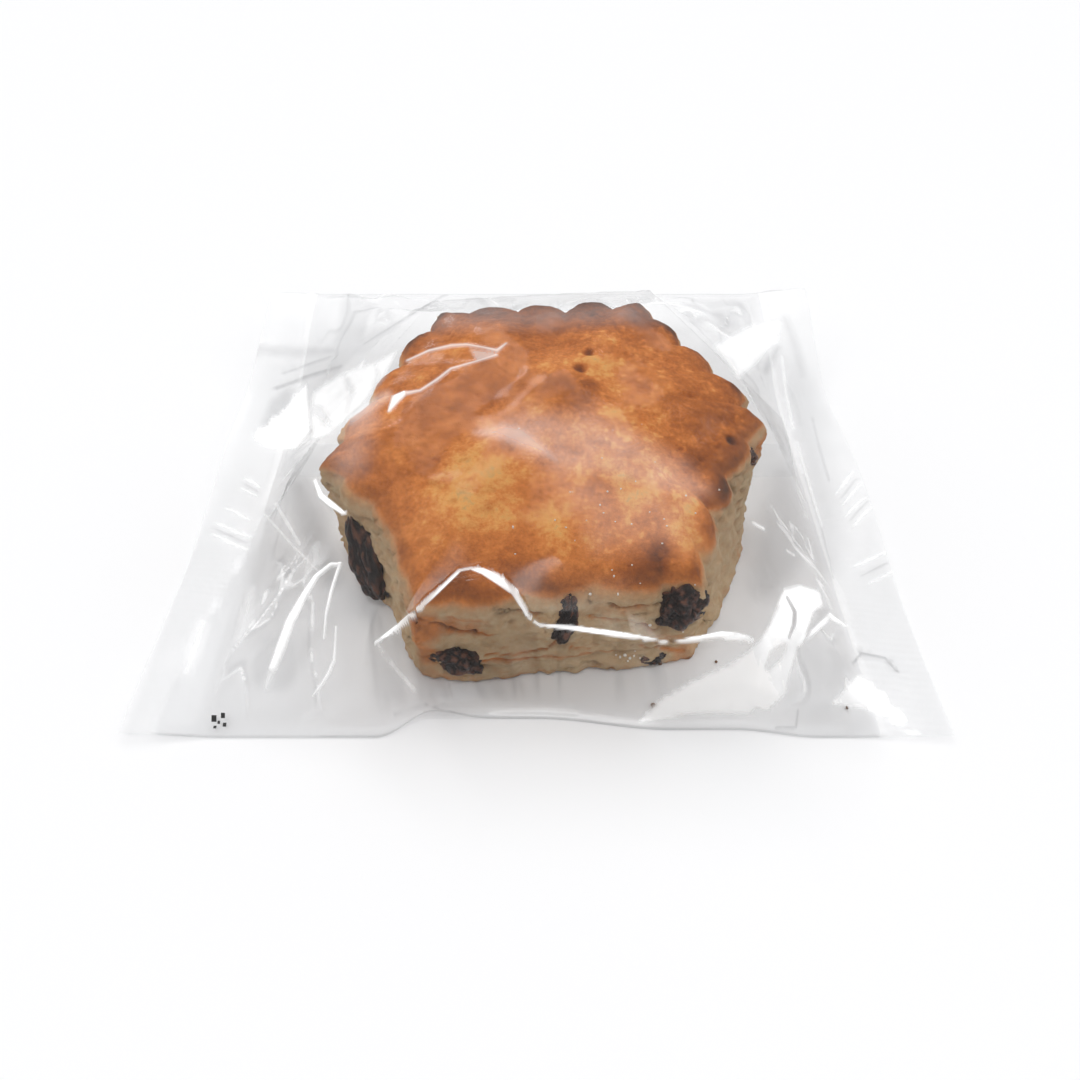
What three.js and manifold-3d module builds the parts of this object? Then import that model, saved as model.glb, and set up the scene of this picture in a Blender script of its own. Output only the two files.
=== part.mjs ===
// A sultana scone sealed in a clear film bag. Millimetres, +Z up. The origin is the middle of
// the bag's footprint on the table, +X runs from one crimped end of the bag to the other, and
// -Y is the front. The scone was cut with a six-sided fluted cutter and rose unevenly, so it is
// lower at the front. The bag is a flow-wrap pack: a tube of film that lies over the scone like
// a tent, folded flat at the front and back and crimped shut at both ends.
import * as THREE from "three";
import { mergeVertices } from "three/addons/utils/BufferGeometryUtils.js";
import Module from "manifold-3d";

const wasm = await Module();
wasm.setup();

const DEGREE = Math.PI / 180;
const TURN = 2 * Math.PI;
const { sin, cos, abs, min, max, exp, hypot } = Math;
const mix = (a, b, share) => a + (b - a) * share;
const clamp = (x) => min(1, max(0, x));
const smooth = (x) => clamp(x) ** 2 * (3 - 2 * clamp(x));

// ---------------------------------------------------------------- driving dimensions
// The scone, in its own frame: the origin is under its middle, at the foot.
const SCONE_AT = new THREE.Vector3(1.3, -10.5, 0.3); // the film runs under its foot
const CORNERS = [
  // the six corners of the cutter's outline: direction in degrees, distance from the middle
  { at: 4, reach: 38.5 },
  { at: 61.5, reach: 41.3 },
  { at: 122, reach: 38.9 },
  { at: 190, reach: 38.9 },
  { at: 240.5, reach: 40.0 },
  { at: 307.5, reach: 39.9 },
];
const FLUTES_PER_SIDE = 4;
const FLUTE_DEPTH = 2.4;
const SIDE_FLUTES = [1, 1, 1, 0.35, 0.45, 0.8]; // share of that depth left on each side
const TOP_DRAW = [0, 0, 0, 3.8, 1.0, 2.6]; // how far the top's edge drew in over the wall
const FOOT_DRAW = [0, 0, 0, 2.9, -0.2, -0.5]; // how far the foot drew in under it
const CORNER_BLUNTING = 1.3; // how far the oven pulled each corner in
const EDGE_HEIGHT = 21.4; // the top's edge at the middle of the scone
const EDGE_RISE = 0.11; // per millimetre towards the back
const DOME = 6.0; // the middle of the top above its edge
const SHOULDER_WIDTH = 4.0;
const SHOULDER_HEIGHT = 3.0;
const FOOT_INSET = 2.7; // the foot is narrower than the top, but not at the front
const FOOT_ROUNDING = 0.9;
const SPLIT_DEPTH = 0.9; // the crack that runs round a risen scone's wall
const SPLIT_AT = 0.42; // of the wall's height
const LUMP = 0.6; // unevenness of the top
const MIDDLE_REACH = 35.5; // of the round part of the dome

// The bag
const BAG_LENGTH = 124; // between the ends of the two crimped seals
const BAG_DEPTH = 111; // between the front and the back fold
const SEAL_WIDTH = 11;
const FOLD_WIDTH = 1.6;
const FILM_GAP = 1.1; // of the bag's face over the scone's top and rim
const CAVITY_GAP = 0.4; // between the scone and the hollow that it lies in
const EDGE_THICKNESS = 0.8; // of the flat ends and folds
const BACK_LIFT = 8.5; // the back fold stands off the table
const END_LIFT = 3.0; // the most that the seals curl off the table
const SLOPE_SAG = 1.22; // 1 is a straight tent wall, more sags inwards
const FRONT_SAG = 0.85; // the front's film is held out by its stiffness
const PLEAT = 0.9; // ridges that run from the rim to the seals
// How far the film stands out past the scone's rim before it turns down: direction, distance.
const BRIM = [[232, 0], [240, 2.2], [246, 0], [266, 0], [275, 1.2], [290, 3.0], [306, 4.6], [320, 0]];

// Sultanas in the wall: direction in degrees, height of the middle, how far the middle stands
// out of the wall, size along the wall, up it and into it, the turn in the wall's plane, and
// how far they lean in with the wall.
const WALL_SULTANAS = [
  { name: "sultana_left", at: 208, height: 7.9, proud: 0.4, size: [6.8, 15.0, 7.0], turn: 42, lean: 4 },
  { name: "sultana_front_left", at: 247.3, height: 4.4, proud: -1.0, size: [8.6, 5.2, 5.0], turn: -8 },
  { name: "sultana_front_middle", at: 275, height: 11.4, proud: -1.6, size: [3.8, 10.0, 5.0], turn: -10 },
  { name: "sultana_front_right", at: 304.5, height: 12.8, proud: -1.6, size: [8.2, 8.6, 6.0], turn: 30 },
  { name: "sultana_foot_right", at: 300, height: 1.4, proud: -1.2, size: [5.8, 2.2, 4.0], turn: 0 },
  { name: "sultana_right", at: 14, height: 9.5, proud: -1.6, size: [7.5, 5.5, 5.0], turn: 35 },
  { name: "sultana_back_right", at: 40, height: 7.5, proud: -1.0, size: [9.0, 6.0, 5.4], turn: 20 },
  { name: "sultana_back", at: 98, height: 12.5, proud: -1.2, size: [6.0, 8.5, 5.2], turn: -25 },
  { name: "sultana_back_left", at: 152, height: 6.5, proud: -0.9, size: [8.2, 5.4, 5.0], turn: 10 },
  { name: "sultana_top_right", at: 356.5, height: 17.6, proud: -1.0, size: [3.2, 4.6, 3.4], turn: 30, lean: 30 },
];
const SOCKET_GAP = 0.35; // the dough stands off each sultana by this

// ---------------------------------------------------------------- the scone's form
// The side of the cutter that a direction falls on, and how far along that side it is.
function sideAt(angle) {
  const turn = ((angle % TURN) + TURN) % TURN;
  for (let i = 0; i < CORNERS.length; i++) {
    const from = CORNERS[i];
    const to = CORNERS[(i + 1) % CORNERS.length];
    const a = from.at * DEGREE;
    const b = to.at * DEGREE + (to.at < from.at ? TURN : 0);
    const t = turn < a ? turn + TURN : turn;
    if (t < a || t > b) continue;
    const reach =
      (from.reach * to.reach * sin(b - a)) / (from.reach * sin(t - a) + to.reach * sin(b - t));
    const length = Math.sqrt(
      from.reach ** 2 + to.reach ** 2 - 2 * from.reach * to.reach * cos(b - a),
    );
    const walked = Math.sqrt(
      max(0, from.reach ** 2 + reach ** 2 - 2 * from.reach * reach * cos(t - a)),
    );
    return { reach, along: walked / length, side: i };
  }
  throw new Error("no side faces " + angle);
}

// Distance of the outline in a direction, with the given share of the flutes' depth.
function outline(angle, flute) {
  const { reach, along, side } = sideAt(angle);
  const toCorner = min(along, 1 - along);
  const blunt = CORNER_BLUNTING * exp(-((toCorner / 0.1) ** 2));
  const lobe = abs(cos(Math.PI * FLUTES_PER_SIDE * along)) ** 0.8 - 0.65;
  const next = (side + (along < 0.5 ? CORNERS.length - 1 : 1)) % CORNERS.length;
  const corner = (SIDE_FLUTES[side] + SIDE_FLUTES[next]) / 2;
  const left = mix(corner, SIDE_FLUTES[side], smooth(toCorner / 0.25));
  const uneven = 1 + 0.2 * sin(5 * angle + side) + 0.15 * sin(11 * angle);
  return reach - blunt + FLUTE_DEPTH * flute * left * lobe * uneven + 0.35 * sin(3 * angle + 1.2);
}

const edgeHeight = (y) => EDGE_HEIGHT + EDGE_RISE * y;

// Slow unevenness of the top crust.
function lump(x, y) {
  return (
    LUMP * sin(0.19 * x + 0.6) * sin(0.16 * y + 1.1) +
    0.55 * LUMP * sin(0.34 * x - 0.21 * y + 2.0) +
    0.4 * LUMP * sin(0.27 * y + 0.31 * x)
  );
}

// Height of the top, inside the shoulder. share is the distance from the middle over the reach.
// The dome is round in the middle and takes on the cutter's outline only towards its edge.
function topHeight(x, y, share) {
  const round = mix(hypot(x, y) / MIDDLE_REACH, share, smooth(share * 1.1));
  return edgeHeight(y) + DOME * (1 - min(1, round) ** 2.2) * 0.92 + lump(x, y) * (1 - share ** 4);
}

// Distance of the wall at a share of its height, from 0 at the foot to 1 under the shoulder.
function wallReach(angle, share) {
  const split =
    SPLIT_DEPTH *
    exp(-(((share - SPLIT_AT - 0.08 * sin(2 * angle + 0.5)) / 0.1) ** 2)) *
    (0.6 + 0.4 * sin(7 * angle + 1));
  const layers = 0.3 * sin(13 * share + 3 * angle) * sin(5 * angle);
  const lean = smooth((0.35 + sin(angle)) / 0.5) * (0.7 - 0.3 * cos(angle));
  const inset = FOOT_INSET * lean * (1 - share) ** 1.3;
  const { along, side } = sideAt(angle);
  const middle = sin(Math.PI * clamp(along)) ** 0.9;
  const slant = middle * (TOP_DRAW[side] * share ** 1.4 + FOOT_DRAW[side] * (1 - share));
  return outline(angle, 0.3 + 0.7 * share) - inset - slant - split + layers;
}

const shoulderFoot = (angle) =>
  edgeHeight(sideAt(angle).reach * sin(angle)) - SHOULDER_HEIGHT;

const WALL_STEPS = 6;
const SHOULDER_STEPS = 3;
const TOP_SHARES = [0.72, 0.5, 0.25];

// A ring of points, one for each angle, from a function that gives x, y and z.
const ring = (angles, place) => angles.map((angle) => place(angle));
const polar = (angle, reach, z) => new THREE.Vector3(reach * cos(angle), reach * sin(angle), z);

// Directions that divide each of the six sides evenly, so that every lobe and valley has one.
function sideAngles(stepsPerSide) {
  return CORNERS.flatMap((from, i) => {
    const to = CORNERS[(i + 1) % CORNERS.length];
    const start = polar(from.at * DEGREE, from.reach, 0);
    const end = polar(to.at * DEGREE, to.reach, 0);
    return Array.from({ length: stepsPerSide }, (_, k) => {
      const point = start.clone().lerp(end, k / stepsPerSide);
      return Math.atan2(point.y, point.x);
    });
  });
}

// The scone's rings from the foot to the middle of the top.
function sconeRings(angles) {
  const rings = [];
  rings.push(ring(angles, (a) => polar(a, wallReach(a, 0) * 0.55, 0)));
  rings.push(ring(angles, (a) => polar(a, wallReach(a, 0) - FOOT_ROUNDING, 0)));
  for (let i = 0; i <= WALL_STEPS; i++) {
    const share = i / WALL_STEPS;
    rings.push(
      ring(angles, (a) => {
        const reach = wallReach(a, share);
        return polar(a, reach, mix(FOOT_ROUNDING, shoulderFoot(a), share));
      }),
    );
  }
  rings.push(...topRings(angles, (a) => wallReach(a, 1), 0));
  const crown = new THREE.Vector3(0, 0, topHeight(0, 0, 0));
  return { bottom: new THREE.Vector3(0, 0, 0), rings, crown };
}

// The shoulder and the top, grown outwards by gap.
function topRings(angles, wallTop, gap) {
  const rings = [];
  for (let i = 1; i <= SHOULDER_STEPS; i++) {
    const turn = (i / SHOULDER_STEPS) * 90 * DEGREE;
    rings.push(
      ring(angles, (a) => {
        const wide = wallTop(a);
        const reach = wide - SHOULDER_WIDTH * (1 - cos(turn));
        const high = topHeight(reach * cos(a), reach * sin(a), reach / wide);
        return polar(a, reach, mix(shoulderFoot(a), high, sin(turn)) + gap);
      }),
    );
  }
  for (const share of TOP_SHARES) {
    rings.push(
      ring(angles, (a) => {
        const reach = wallTop(a) * share;
        return polar(a, reach, topHeight(reach * cos(a), reach * sin(a), share) + gap);
      }),
    );
  }
  return rings;
}

// The most that a lobe or a layer of the wall stands out of the straight side.
const LOBE_REACH =
  0.3 + max(...sideAngles(60).map((angle) => outline(angle, 1) - sideAt(angle).reach));

// The hollow in the bag that the scone lies in. It bridges the flutes and is open underneath.
function hollowRings(angles) {
  const rings = [];
  const wall = (angle) => sideAt(angle).reach + LOBE_REACH + CAVITY_GAP;
  rings.push(ring(angles, (a) => polar(a, wall(a), -2)));
  rings.push(ring(angles, (a) => polar(a, wall(a), shoulderFoot(a) + CAVITY_GAP)));
  rings.push(...topRings(angles, wall, CAVITY_GAP + 0.15));
  const crown = new THREE.Vector3(0, 0, topHeight(0, 0, 0) + CAVITY_GAP);
  return { bottom: new THREE.Vector3(0, 0, -2), rings, crown };
}

// ---------------------------------------------------------------- the bag's form
const HALF_LENGTH = BAG_LENGTH / 2;
const HALF_DEPTH = BAG_DEPTH / 2;

// Distance from the scone's middle to a rectangle round the bag's middle, in a direction.
function toRectangle(angle, halfLength, halfDepth) {
  const c = cos(angle);
  const s = sin(angle);
  const alongX = abs(c) < 1e-9 ? Infinity : (Math.sign(c) * halfLength - SCONE_AT.x) / c;
  const alongY = abs(s) < 1e-9 ? Infinity : (Math.sign(s) * halfDepth - SCONE_AT.y) / s;
  return min(alongX, alongY);
}

// How far the flattened edge of the bag stands off the table: the back fold is raised, and the
// two seals curl up where they were gathered.
function edgeLift(x, y) {
  const back = BACK_LIFT * smooth((y - 18) / (HALF_DEPTH - 18));
  const end = abs(x) / HALF_LENGTH;
  const curl = END_LIFT * smooth((end - 0.75) / 0.25) * (0.5 + 0.5 * sin(0.085 * y + (x < 0 ? 0.4 : 1.5)));
  const near = smooth((hypot(x - SCONE_AT.x, y - SCONE_AT.y) - 44) / 14);
  return (back + curl * (1 - 0.6 * smooth((-y - 20) / 25))) * near;
}

// Distance of the film over the rim of the scone: it bridges the flutes.
function brim(angle) {
  const degrees = ((angle / DEGREE) % 360 + 360) % 360;
  const after = BRIM.findIndex(([at]) => at > degrees);
  if (after < 1) return 0;
  const [[a, from], [b, to]] = [BRIM[after - 1], BRIM[after]];
  return mix(from, to, (degrees - a) / (b - a));
}

const rimReach = (angle) => sideAt(angle).reach + LOBE_REACH + FILM_GAP + brim(angle);

// Points of the bag's upper face. slope runs from 0 at the scone's rim to 1 at the flat edge.
function slopePoint(angle, slope) {
  const rim = rimReach(angle);
  const inner = toRectangle(angle, HALF_LENGTH - SEAL_WIDTH, HALF_DEPTH - FOLD_WIDTH);
  const reach = mix(rim, inner, slope);
  const x = reach * cos(angle) + SCONE_AT.x;
  const y = reach * sin(angle) + SCONE_AT.y;
  const scone = rim - brim(angle);
  const high = edgeHeight(scone * sin(angle)) + SCONE_AT.z - 0.6 - 0.15 * brim(angle);
  const low = edgeLift(x, y) + EDGE_THICKNESS;
  const pleat = PLEAT * sin(17 * angle + 0.8) * sin(5 * angle) * 4 * slope * (1 - slope);
  const sag = mix(SLOPE_SAG, FRONT_SAG, smooth((-sin(angle) - 0.6) / 0.3));
  return new THREE.Vector3(x, y, mix(low, high, (1 - slope) ** sag) + pleat);
}

function edgePoint(angle, out, thickness) {
  const inner = toRectangle(angle, HALF_LENGTH - SEAL_WIDTH, HALF_DEPTH - FOLD_WIDTH);
  const outer = toRectangle(angle, HALF_LENGTH, HALF_DEPTH);
  const reach = mix(inner, outer, out);
  const x = reach * cos(angle) + SCONE_AT.x;
  const y = reach * sin(angle) + SCONE_AT.y;
  return new THREE.Vector3(x, y, edgeLift(x, y) + thickness);
}

const BAG_STEPS_PER_SIDE = 16;
const SLOPES = [0, 0.12, 0.26, 0.43, 0.62, 0.82, 1];

// The scone's own directions, with the nearest ones moved onto the bag's four corners.
function bagAngles() {
  const angles = sideAngles(BAG_STEPS_PER_SIDE);
  for (const [sx, sy] of [[1, 1], [-1, 1], [-1, -1], [1, -1]]) {
    const corner = Math.atan2(sy * HALF_DEPTH - SCONE_AT.y, sx * HALF_LENGTH - SCONE_AT.x);
    const offsets = angles.map((angle) => abs(cos(angle - corner) - 1));
    angles[offsets.indexOf(min(...offsets))] = corner;
  }
  return angles;
}

function bagRings() {
  const angles = bagAngles();
  const rings = [];
  const under = (angle, slope) => {
    const point = slopePoint(angle, slope);
    return new THREE.Vector3(point.x, point.y, edgeLift(point.x, point.y));
  };
  for (const slope of [0, 0.25, 0.6, 1]) rings.push(ring(angles, (a) => under(a, slope)));
  rings.push(ring(angles, (a) => edgePoint(a, 0.5, 0)));
  rings.push(ring(angles, (a) => edgePoint(a, 1, 0)));
  rings.push(ring(angles, (a) => edgePoint(a, 1, EDGE_THICKNESS)));
  rings.push(ring(angles, (a) => edgePoint(a, 0.5, EDGE_THICKNESS)));
  for (const slope of SLOPES.toReversed()) rings.push(ring(angles, (a) => slopePoint(a, slope)));
  for (const share of [0.88, 0.7, 0.48, 0.24]) {
    rings.push(
      ring(angles, (a) => {
        const reach = (rimReach(a) - brim(a)) * share;
        const height = topHeight(reach * cos(a), reach * sin(a), share);
        return polar(a, reach, height + FILM_GAP).add(SCONE_AT);
      }),
    );
  }
  const bottom = new THREE.Vector3(SCONE_AT.x, SCONE_AT.y, 0);
  const crown = new THREE.Vector3(0, 0, topHeight(0, 0, 0) + FILM_GAP).add(SCONE_AT);
  return { bottom, rings, crown };
}

// ---------------------------------------------------------------- meshes and solids
// A closed skin over rings of equal count, capped by a point at each end.
function skin({ bottom, rings, crown }) {
  const count = rings[0].length;
  const points = [bottom, ...rings.flat(), crown];
  const at = (r, i) => 1 + r * count + (i % count);
  const index = [];
  for (let i = 0; i < count; i++) {
    index.push(0, at(0, i + 1), at(0, i));
    for (let r = 0; r + 1 < rings.length; r++) {
      index.push(at(r, i), at(r, i + 1), at(r + 1, i + 1));
      index.push(at(r, i), at(r + 1, i + 1), at(r + 1, i));
    }
    index.push(at(rings.length - 1, i), at(rings.length - 1, i + 1), points.length - 1);
  }
  const geometry = new THREE.BufferGeometry().setFromPoints(points);
  geometry.setIndex(index);
  return geometry;
}

function solidOf(geometry) {
  const bare = geometry.clone();
  bare.deleteAttribute("normal");
  bare.deleteAttribute("uv");
  const merged = mergeVertices(bare, 1e-4);
  return new wasm.Manifold(
    new wasm.Mesh({
      numProp: 3,
      vertProperties: new Float32Array(merged.attributes.position.array),
      triVerts: new Uint32Array(merged.index.array),
    }),
  );
}

function geometryOf(solid) {
  const { numProp, vertProperties, triVerts } = solid.getMesh();
  const position = new Float32Array((vertProperties.length / numProp) * 3);
  for (let i = 0; i < position.length / 3; i++) {
    position.set(vertProperties.subarray(i * numProp, i * numProp + 3), i * 3);
  }
  const geometry = new THREE.BufferGeometry();
  geometry.setAttribute("position", new THREE.BufferAttribute(position, 3));
  geometry.setIndex(new THREE.BufferAttribute(triVerts, 1));
  return geometry;
}

// The largest of a solid's separate pieces: a socket can cut a loose scrap off an edge.
const largest = (solid) =>
  solid.decompose().reduce((best, piece) => (piece.volume() > best.volume() ? piece : best));

// A sultana: a wrinkled, blunt-ended drop, grown by gap all round.
const SULTANA_DETAIL = 2;

function sultanaGeometry([width, length, depth], phase, gap) {
  const geometry = new THREE.IcosahedronGeometry(1, SULTANA_DETAIL);
  const position = geometry.attributes.position;
  for (let i = 0; i < position.count; i++) {
    const p = new THREE.Vector3().fromBufferAttribute(position, i);
    const around = Math.atan2(p.z, p.x);
    const wrinkle = 1 + 0.08 * sin(5 * around + 3 * p.y + phase) + 0.05 * sin(9 * p.y + 2 * phase);
    position.setXYZ(
      i,
      p.x * (wrinkle * (width / 2) * (1 - 0.15 * p.y) + gap),
      p.y * (wrinkle * (length / 2) + gap),
      p.z * (wrinkle * (depth / 2) + gap),
    );
  }
  return geometry;
}

// Places a sultana with its X along side, its Y along up and its Z along out.
function placed(geometry, centre, side, up, out) {
  const frame = new THREE.Matrix4().makeBasis(side, up, out).setPosition(centre);
  return geometry.applyMatrix4(frame);
}

function sultanaAt({ at, height, proud, size, turn, lean = 0 }, phase, gap) {
  const angle = at * DEGREE;
  const radial = new THREE.Vector3(cos(angle), sin(angle), 0);
  const share = (height - FOOT_ROUNDING) / (shoulderFoot(angle) - FOOT_ROUNDING);
  const reach = wallReach(angle, clamp(share));
  const centre = radial.clone().multiplyScalar(reach + proud).setZ(height).add(SCONE_AT);
  const level = new THREE.Vector3(0, 0, 1).cross(radial);
  const out = radial.clone().applyAxisAngle(level, -lean * DEGREE);
  const up = new THREE.Vector3(0, 0, 1).applyAxisAngle(level, -lean * DEGREE);
  up.applyAxisAngle(out, turn * DEGREE);
  const side = new THREE.Vector3().crossVectors(up, out);
  return placed(sultanaGeometry(size, phase, gap), centre, side, up, out);
}

const sultanas = WALL_SULTANAS.map((row, i) => ({
  name: row.name,
  geometry: sultanaAt(row, i + 1, 0),
  socket: solidOf(sultanaAt(row, i + 1, SOCKET_GAP)),
  clearance: solidOf(sultanaAt(row, i + 1, CAVITY_GAP)),
}));

const moved = (solid) => solid.translate([SCONE_AT.x, SCONE_AT.y, SCONE_AT.z]);
const dough = moved(solidOf(skin(sconeRings(sideAngles(FLUTES_PER_SIDE * 6)))));
const scone = largest(sultanas.reduce((body, { socket }) => body.subtract(socket), dough));

const hollow = moved(solidOf(skin(hollowRings(sideAngles(10)))));
const cavity = sultanas.reduce((body, { clearance }) => body.add(clearance), hollow);
const bag = largest(solidOf(skin(bagRings())).subtract(cavity));

// ---------------------------------------------------------------- the group
const crust = new THREE.MeshStandardMaterial({ color: 0xc07a42, roughness: 0.75 });
const fruit = new THREE.MeshStandardMaterial({ color: 0x2c1c18, roughness: 0.4 });
const film = new THREE.MeshStandardMaterial({
  color: 0xf2f5f7,
  roughness: 0.08,
  transparent: true,
  opacity: 0.25,
});

function node(name, geometry, material) {
  const mesh = new THREE.Mesh(geometry, material);
  mesh.name = name;
  return mesh;
}

const pack = new THREE.Group();
pack.name = "sultana_scone_in_bag";
pack.add(node("scone", geometryOf(scone), crust));
for (const { name, geometry } of sultanas) pack.add(node(name, geometry, fruit));
pack.add(node("bag", geometryOf(bag), film));

export default pack;
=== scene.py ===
"""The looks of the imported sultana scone: crust, fruit, crumbs, clear film bag, floor, light and
camera. Sizes below are in millimetres in the frame of the solids, and metres() turns them into
Blender's. The scone's form repeats the formulas of the solid, with finer relief added."""

import math

import bmesh
import bpy
import numpy as np
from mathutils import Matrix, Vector
from mathutils.bvhtree import BVHTree
from mathutils.geometry import delaunay_2d_cdt


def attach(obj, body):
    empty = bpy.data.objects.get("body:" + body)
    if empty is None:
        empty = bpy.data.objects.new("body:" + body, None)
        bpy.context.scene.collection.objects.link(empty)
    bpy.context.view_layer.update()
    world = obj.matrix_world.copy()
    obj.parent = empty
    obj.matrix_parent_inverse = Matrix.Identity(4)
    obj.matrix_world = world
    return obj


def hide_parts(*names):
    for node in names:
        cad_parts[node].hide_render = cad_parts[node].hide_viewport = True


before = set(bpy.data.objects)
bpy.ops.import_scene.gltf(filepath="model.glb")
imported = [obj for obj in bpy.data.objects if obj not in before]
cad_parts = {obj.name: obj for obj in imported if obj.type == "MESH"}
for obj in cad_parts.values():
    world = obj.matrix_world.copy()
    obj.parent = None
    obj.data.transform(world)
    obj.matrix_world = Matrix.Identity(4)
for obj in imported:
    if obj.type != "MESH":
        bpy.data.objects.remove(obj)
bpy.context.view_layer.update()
TURN = 2 * math.pi
MM = 0.001  # a millimetre in metres
rng = np.random.default_rng(7)

# The camera looks at AIM from AWAY off, TILT above the table. FOCAL is in pixels of the photograph,
# which is PICTURE pixels wide and high.
AIM, AWAY, TILT = np.array([0.5, -15.0, 0.0]), 150.0, math.radians(47)
FOCAL, PICTURE = 820.0, 1080
RIGHT = np.array([1.0, 0, 0])
AHEAD = np.array([0, math.cos(TILT), -math.sin(TILT)])
UPWARD = np.array([0, math.sin(TILT), math.cos(TILT)])
EYE = AIM - AWAY * AHEAD


def metres(points):
    return np.asarray(points, float) * MM


# ---------------------------------------------------------------- noise and small helpers
def lattice(ix, iy, iz, seed):
    n = (ix * 73856093) ^ (iy * 19349663) ^ (iz * 83492791) ^ (seed * 668265263)
    n = ((n ^ (n >> 13)) * 1274126177) & 0x7FFFFFFF
    n = n ^ (n >> 16)
    return (n & 0xFFFF) / 32767.5 - 1.0


def noise(points, size, seed):
    """Smooth value noise from -1 to 1, with features of the given size."""
    q = np.asarray(points, float) / size + 11.7 * seed
    cell = np.floor(q).astype(np.int64)
    f = q - cell
    f = f * f * f * (f * (f * 6 - 15) + 10)
    total = 0.0
    for corner in range(8):
        d = np.array([corner & 1, corner >> 1 & 1, corner >> 2 & 1])
        weight = np.prod(np.where(d, f, 1 - f), axis=-1)
        total = total + weight * lattice(*(cell + d).T, seed)
    return total


def layered(points, size, octaves, seed):
    """Noise with finer layers added, each of half the size and half the strength."""
    total, scale = 0.0, 0.0
    for k in range(octaves):
        total = total + 0.5**k * noise(points, size / 2**k, seed + 3 * k)
        scale += 0.5**k
    return total / scale


def smooth(x):
    """Rises from 0 to 1 as x does, gently at both ends."""
    x = np.clip(x, 0, 1)
    return x * x * (3 - 2 * x)


def bell(x):
    """1 where x is 0, and less the further it is from 0."""
    return np.exp(-(x**2))


def mix(a, b, share):
    return a + (b - a) * share


def make(name, points, faces, material, flat=False):
    mesh = bpy.data.meshes.new(name)
    mesh.from_pydata([tuple(p) for p in metres(points)], [], faces)
    mesh.update()
    if not flat:
        mesh.polygons.foreach_set("use_smooth", [True] * len(mesh.polygons))
    obj = bpy.data.objects.new(name, mesh)
    bpy.context.scene.collection.objects.link(obj)
    mesh.materials.append(material)
    return obj


def paint(obj, name, values):
    """Keeps one number for each vertex, for the material to read."""
    attribute = obj.data.attributes.new(name, "FLOAT", "POINT")
    attribute.data.foreach_set("value", np.asarray(values, np.float32))


def grid_faces(rows, columns, wrap=False):
    """Squares between rows of points. With wrap, each row closes on itself."""
    faces = []
    last = columns if wrap else columns - 1
    for r in range(rows - 1):
        for c in range(last):
            d = (c + 1) % columns
            faces.append((r * columns + c, r * columns + d, (r + 1) * columns + d, (r + 1) * columns + c))
    return faces


def normals_of(points, faces):
    """The direction out of the surface at each point, from faces of four."""
    quads = np.array(faces)
    p = points[quads]
    n = np.cross(p[:, 2] - p[:, 0], p[:, 3] - p[:, 1])
    total = np.zeros_like(points)
    for k in range(4):
        np.add.at(total, quads[:, k], n)
    return total / np.maximum(np.linalg.norm(total, axis=1, keepdims=True), 1e-12)


def sight(u, v):
    """The directions in which the camera sees pixels of the photograph."""
    across, down = (np.atleast_1d(pixel) - PICTURE / 2 for pixel in (u, v))
    ray = FOCAL * AHEAD + np.multiply.outer(across, RIGHT) - np.multiply.outer(down, UPWARD)
    return ray / np.linalg.norm(ray, axis=-1, keepdims=True)


def seen_at(points):
    """The pixels of the photograph at which the camera sees points."""
    off = points - EYE
    scale = FOCAL / (off @ AHEAD)
    return PICTURE / 2 + off[..., 0] * scale, PICTURE / 2 - (off @ UPWARD) * scale


def to_segment(x, y, start, stop):
    """Distance to a straight line between two points, and how far along it the nearest place is."""
    (ax, ay), (bx, by) = start, stop
    t = ((x - ax) * (bx - ax) + (y - ay) * (by - ay)) / ((bx - ax) ** 2 + (by - ay) ** 2)
    t = np.clip(t, 0, 1)
    return np.hypot(x - mix(ax, bx, t), y - mix(ay, by, t)), t


def to_line(x, y, line):
    """Distance to a line of points, and the half width that it has there."""
    best, width = np.full(x.shape, 1e9), np.zeros(x.shape)
    for (*start, wide), (*stop, wider) in zip(line, line[1:]):
        d, t = to_segment(x, y, start, stop)
        nearer = d < best
        best, width = np.where(nearer, d, best), np.where(nearer, mix(wide, wider, t), width)
    return best, width


def inside_by(x, y, corners):
    """Distance inside an outline, negative outside it."""
    inside, nearest = np.zeros(x.shape, bool), np.full(x.shape, 1e9)
    for (ax, ay), (bx, by) in zip(corners, corners[1:] + corners[:1]):
        nearest = np.minimum(nearest, to_segment(x, y, (ax, ay), (bx, by))[0])
        crosses = (ay > y) != (by > y)
        inside ^= crosses & (x < ax + (y - ay) * (bx - ax) / (by - ay + 1e-12))
    return np.where(inside, nearest, -nearest)


def plan_grid(xs, ys):
    """Every x of xs with every y of ys, row by row."""
    gx, gy = np.meshgrid(xs, ys)
    return np.stack([gx.ravel(), gy.ravel()], axis=1)


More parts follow.
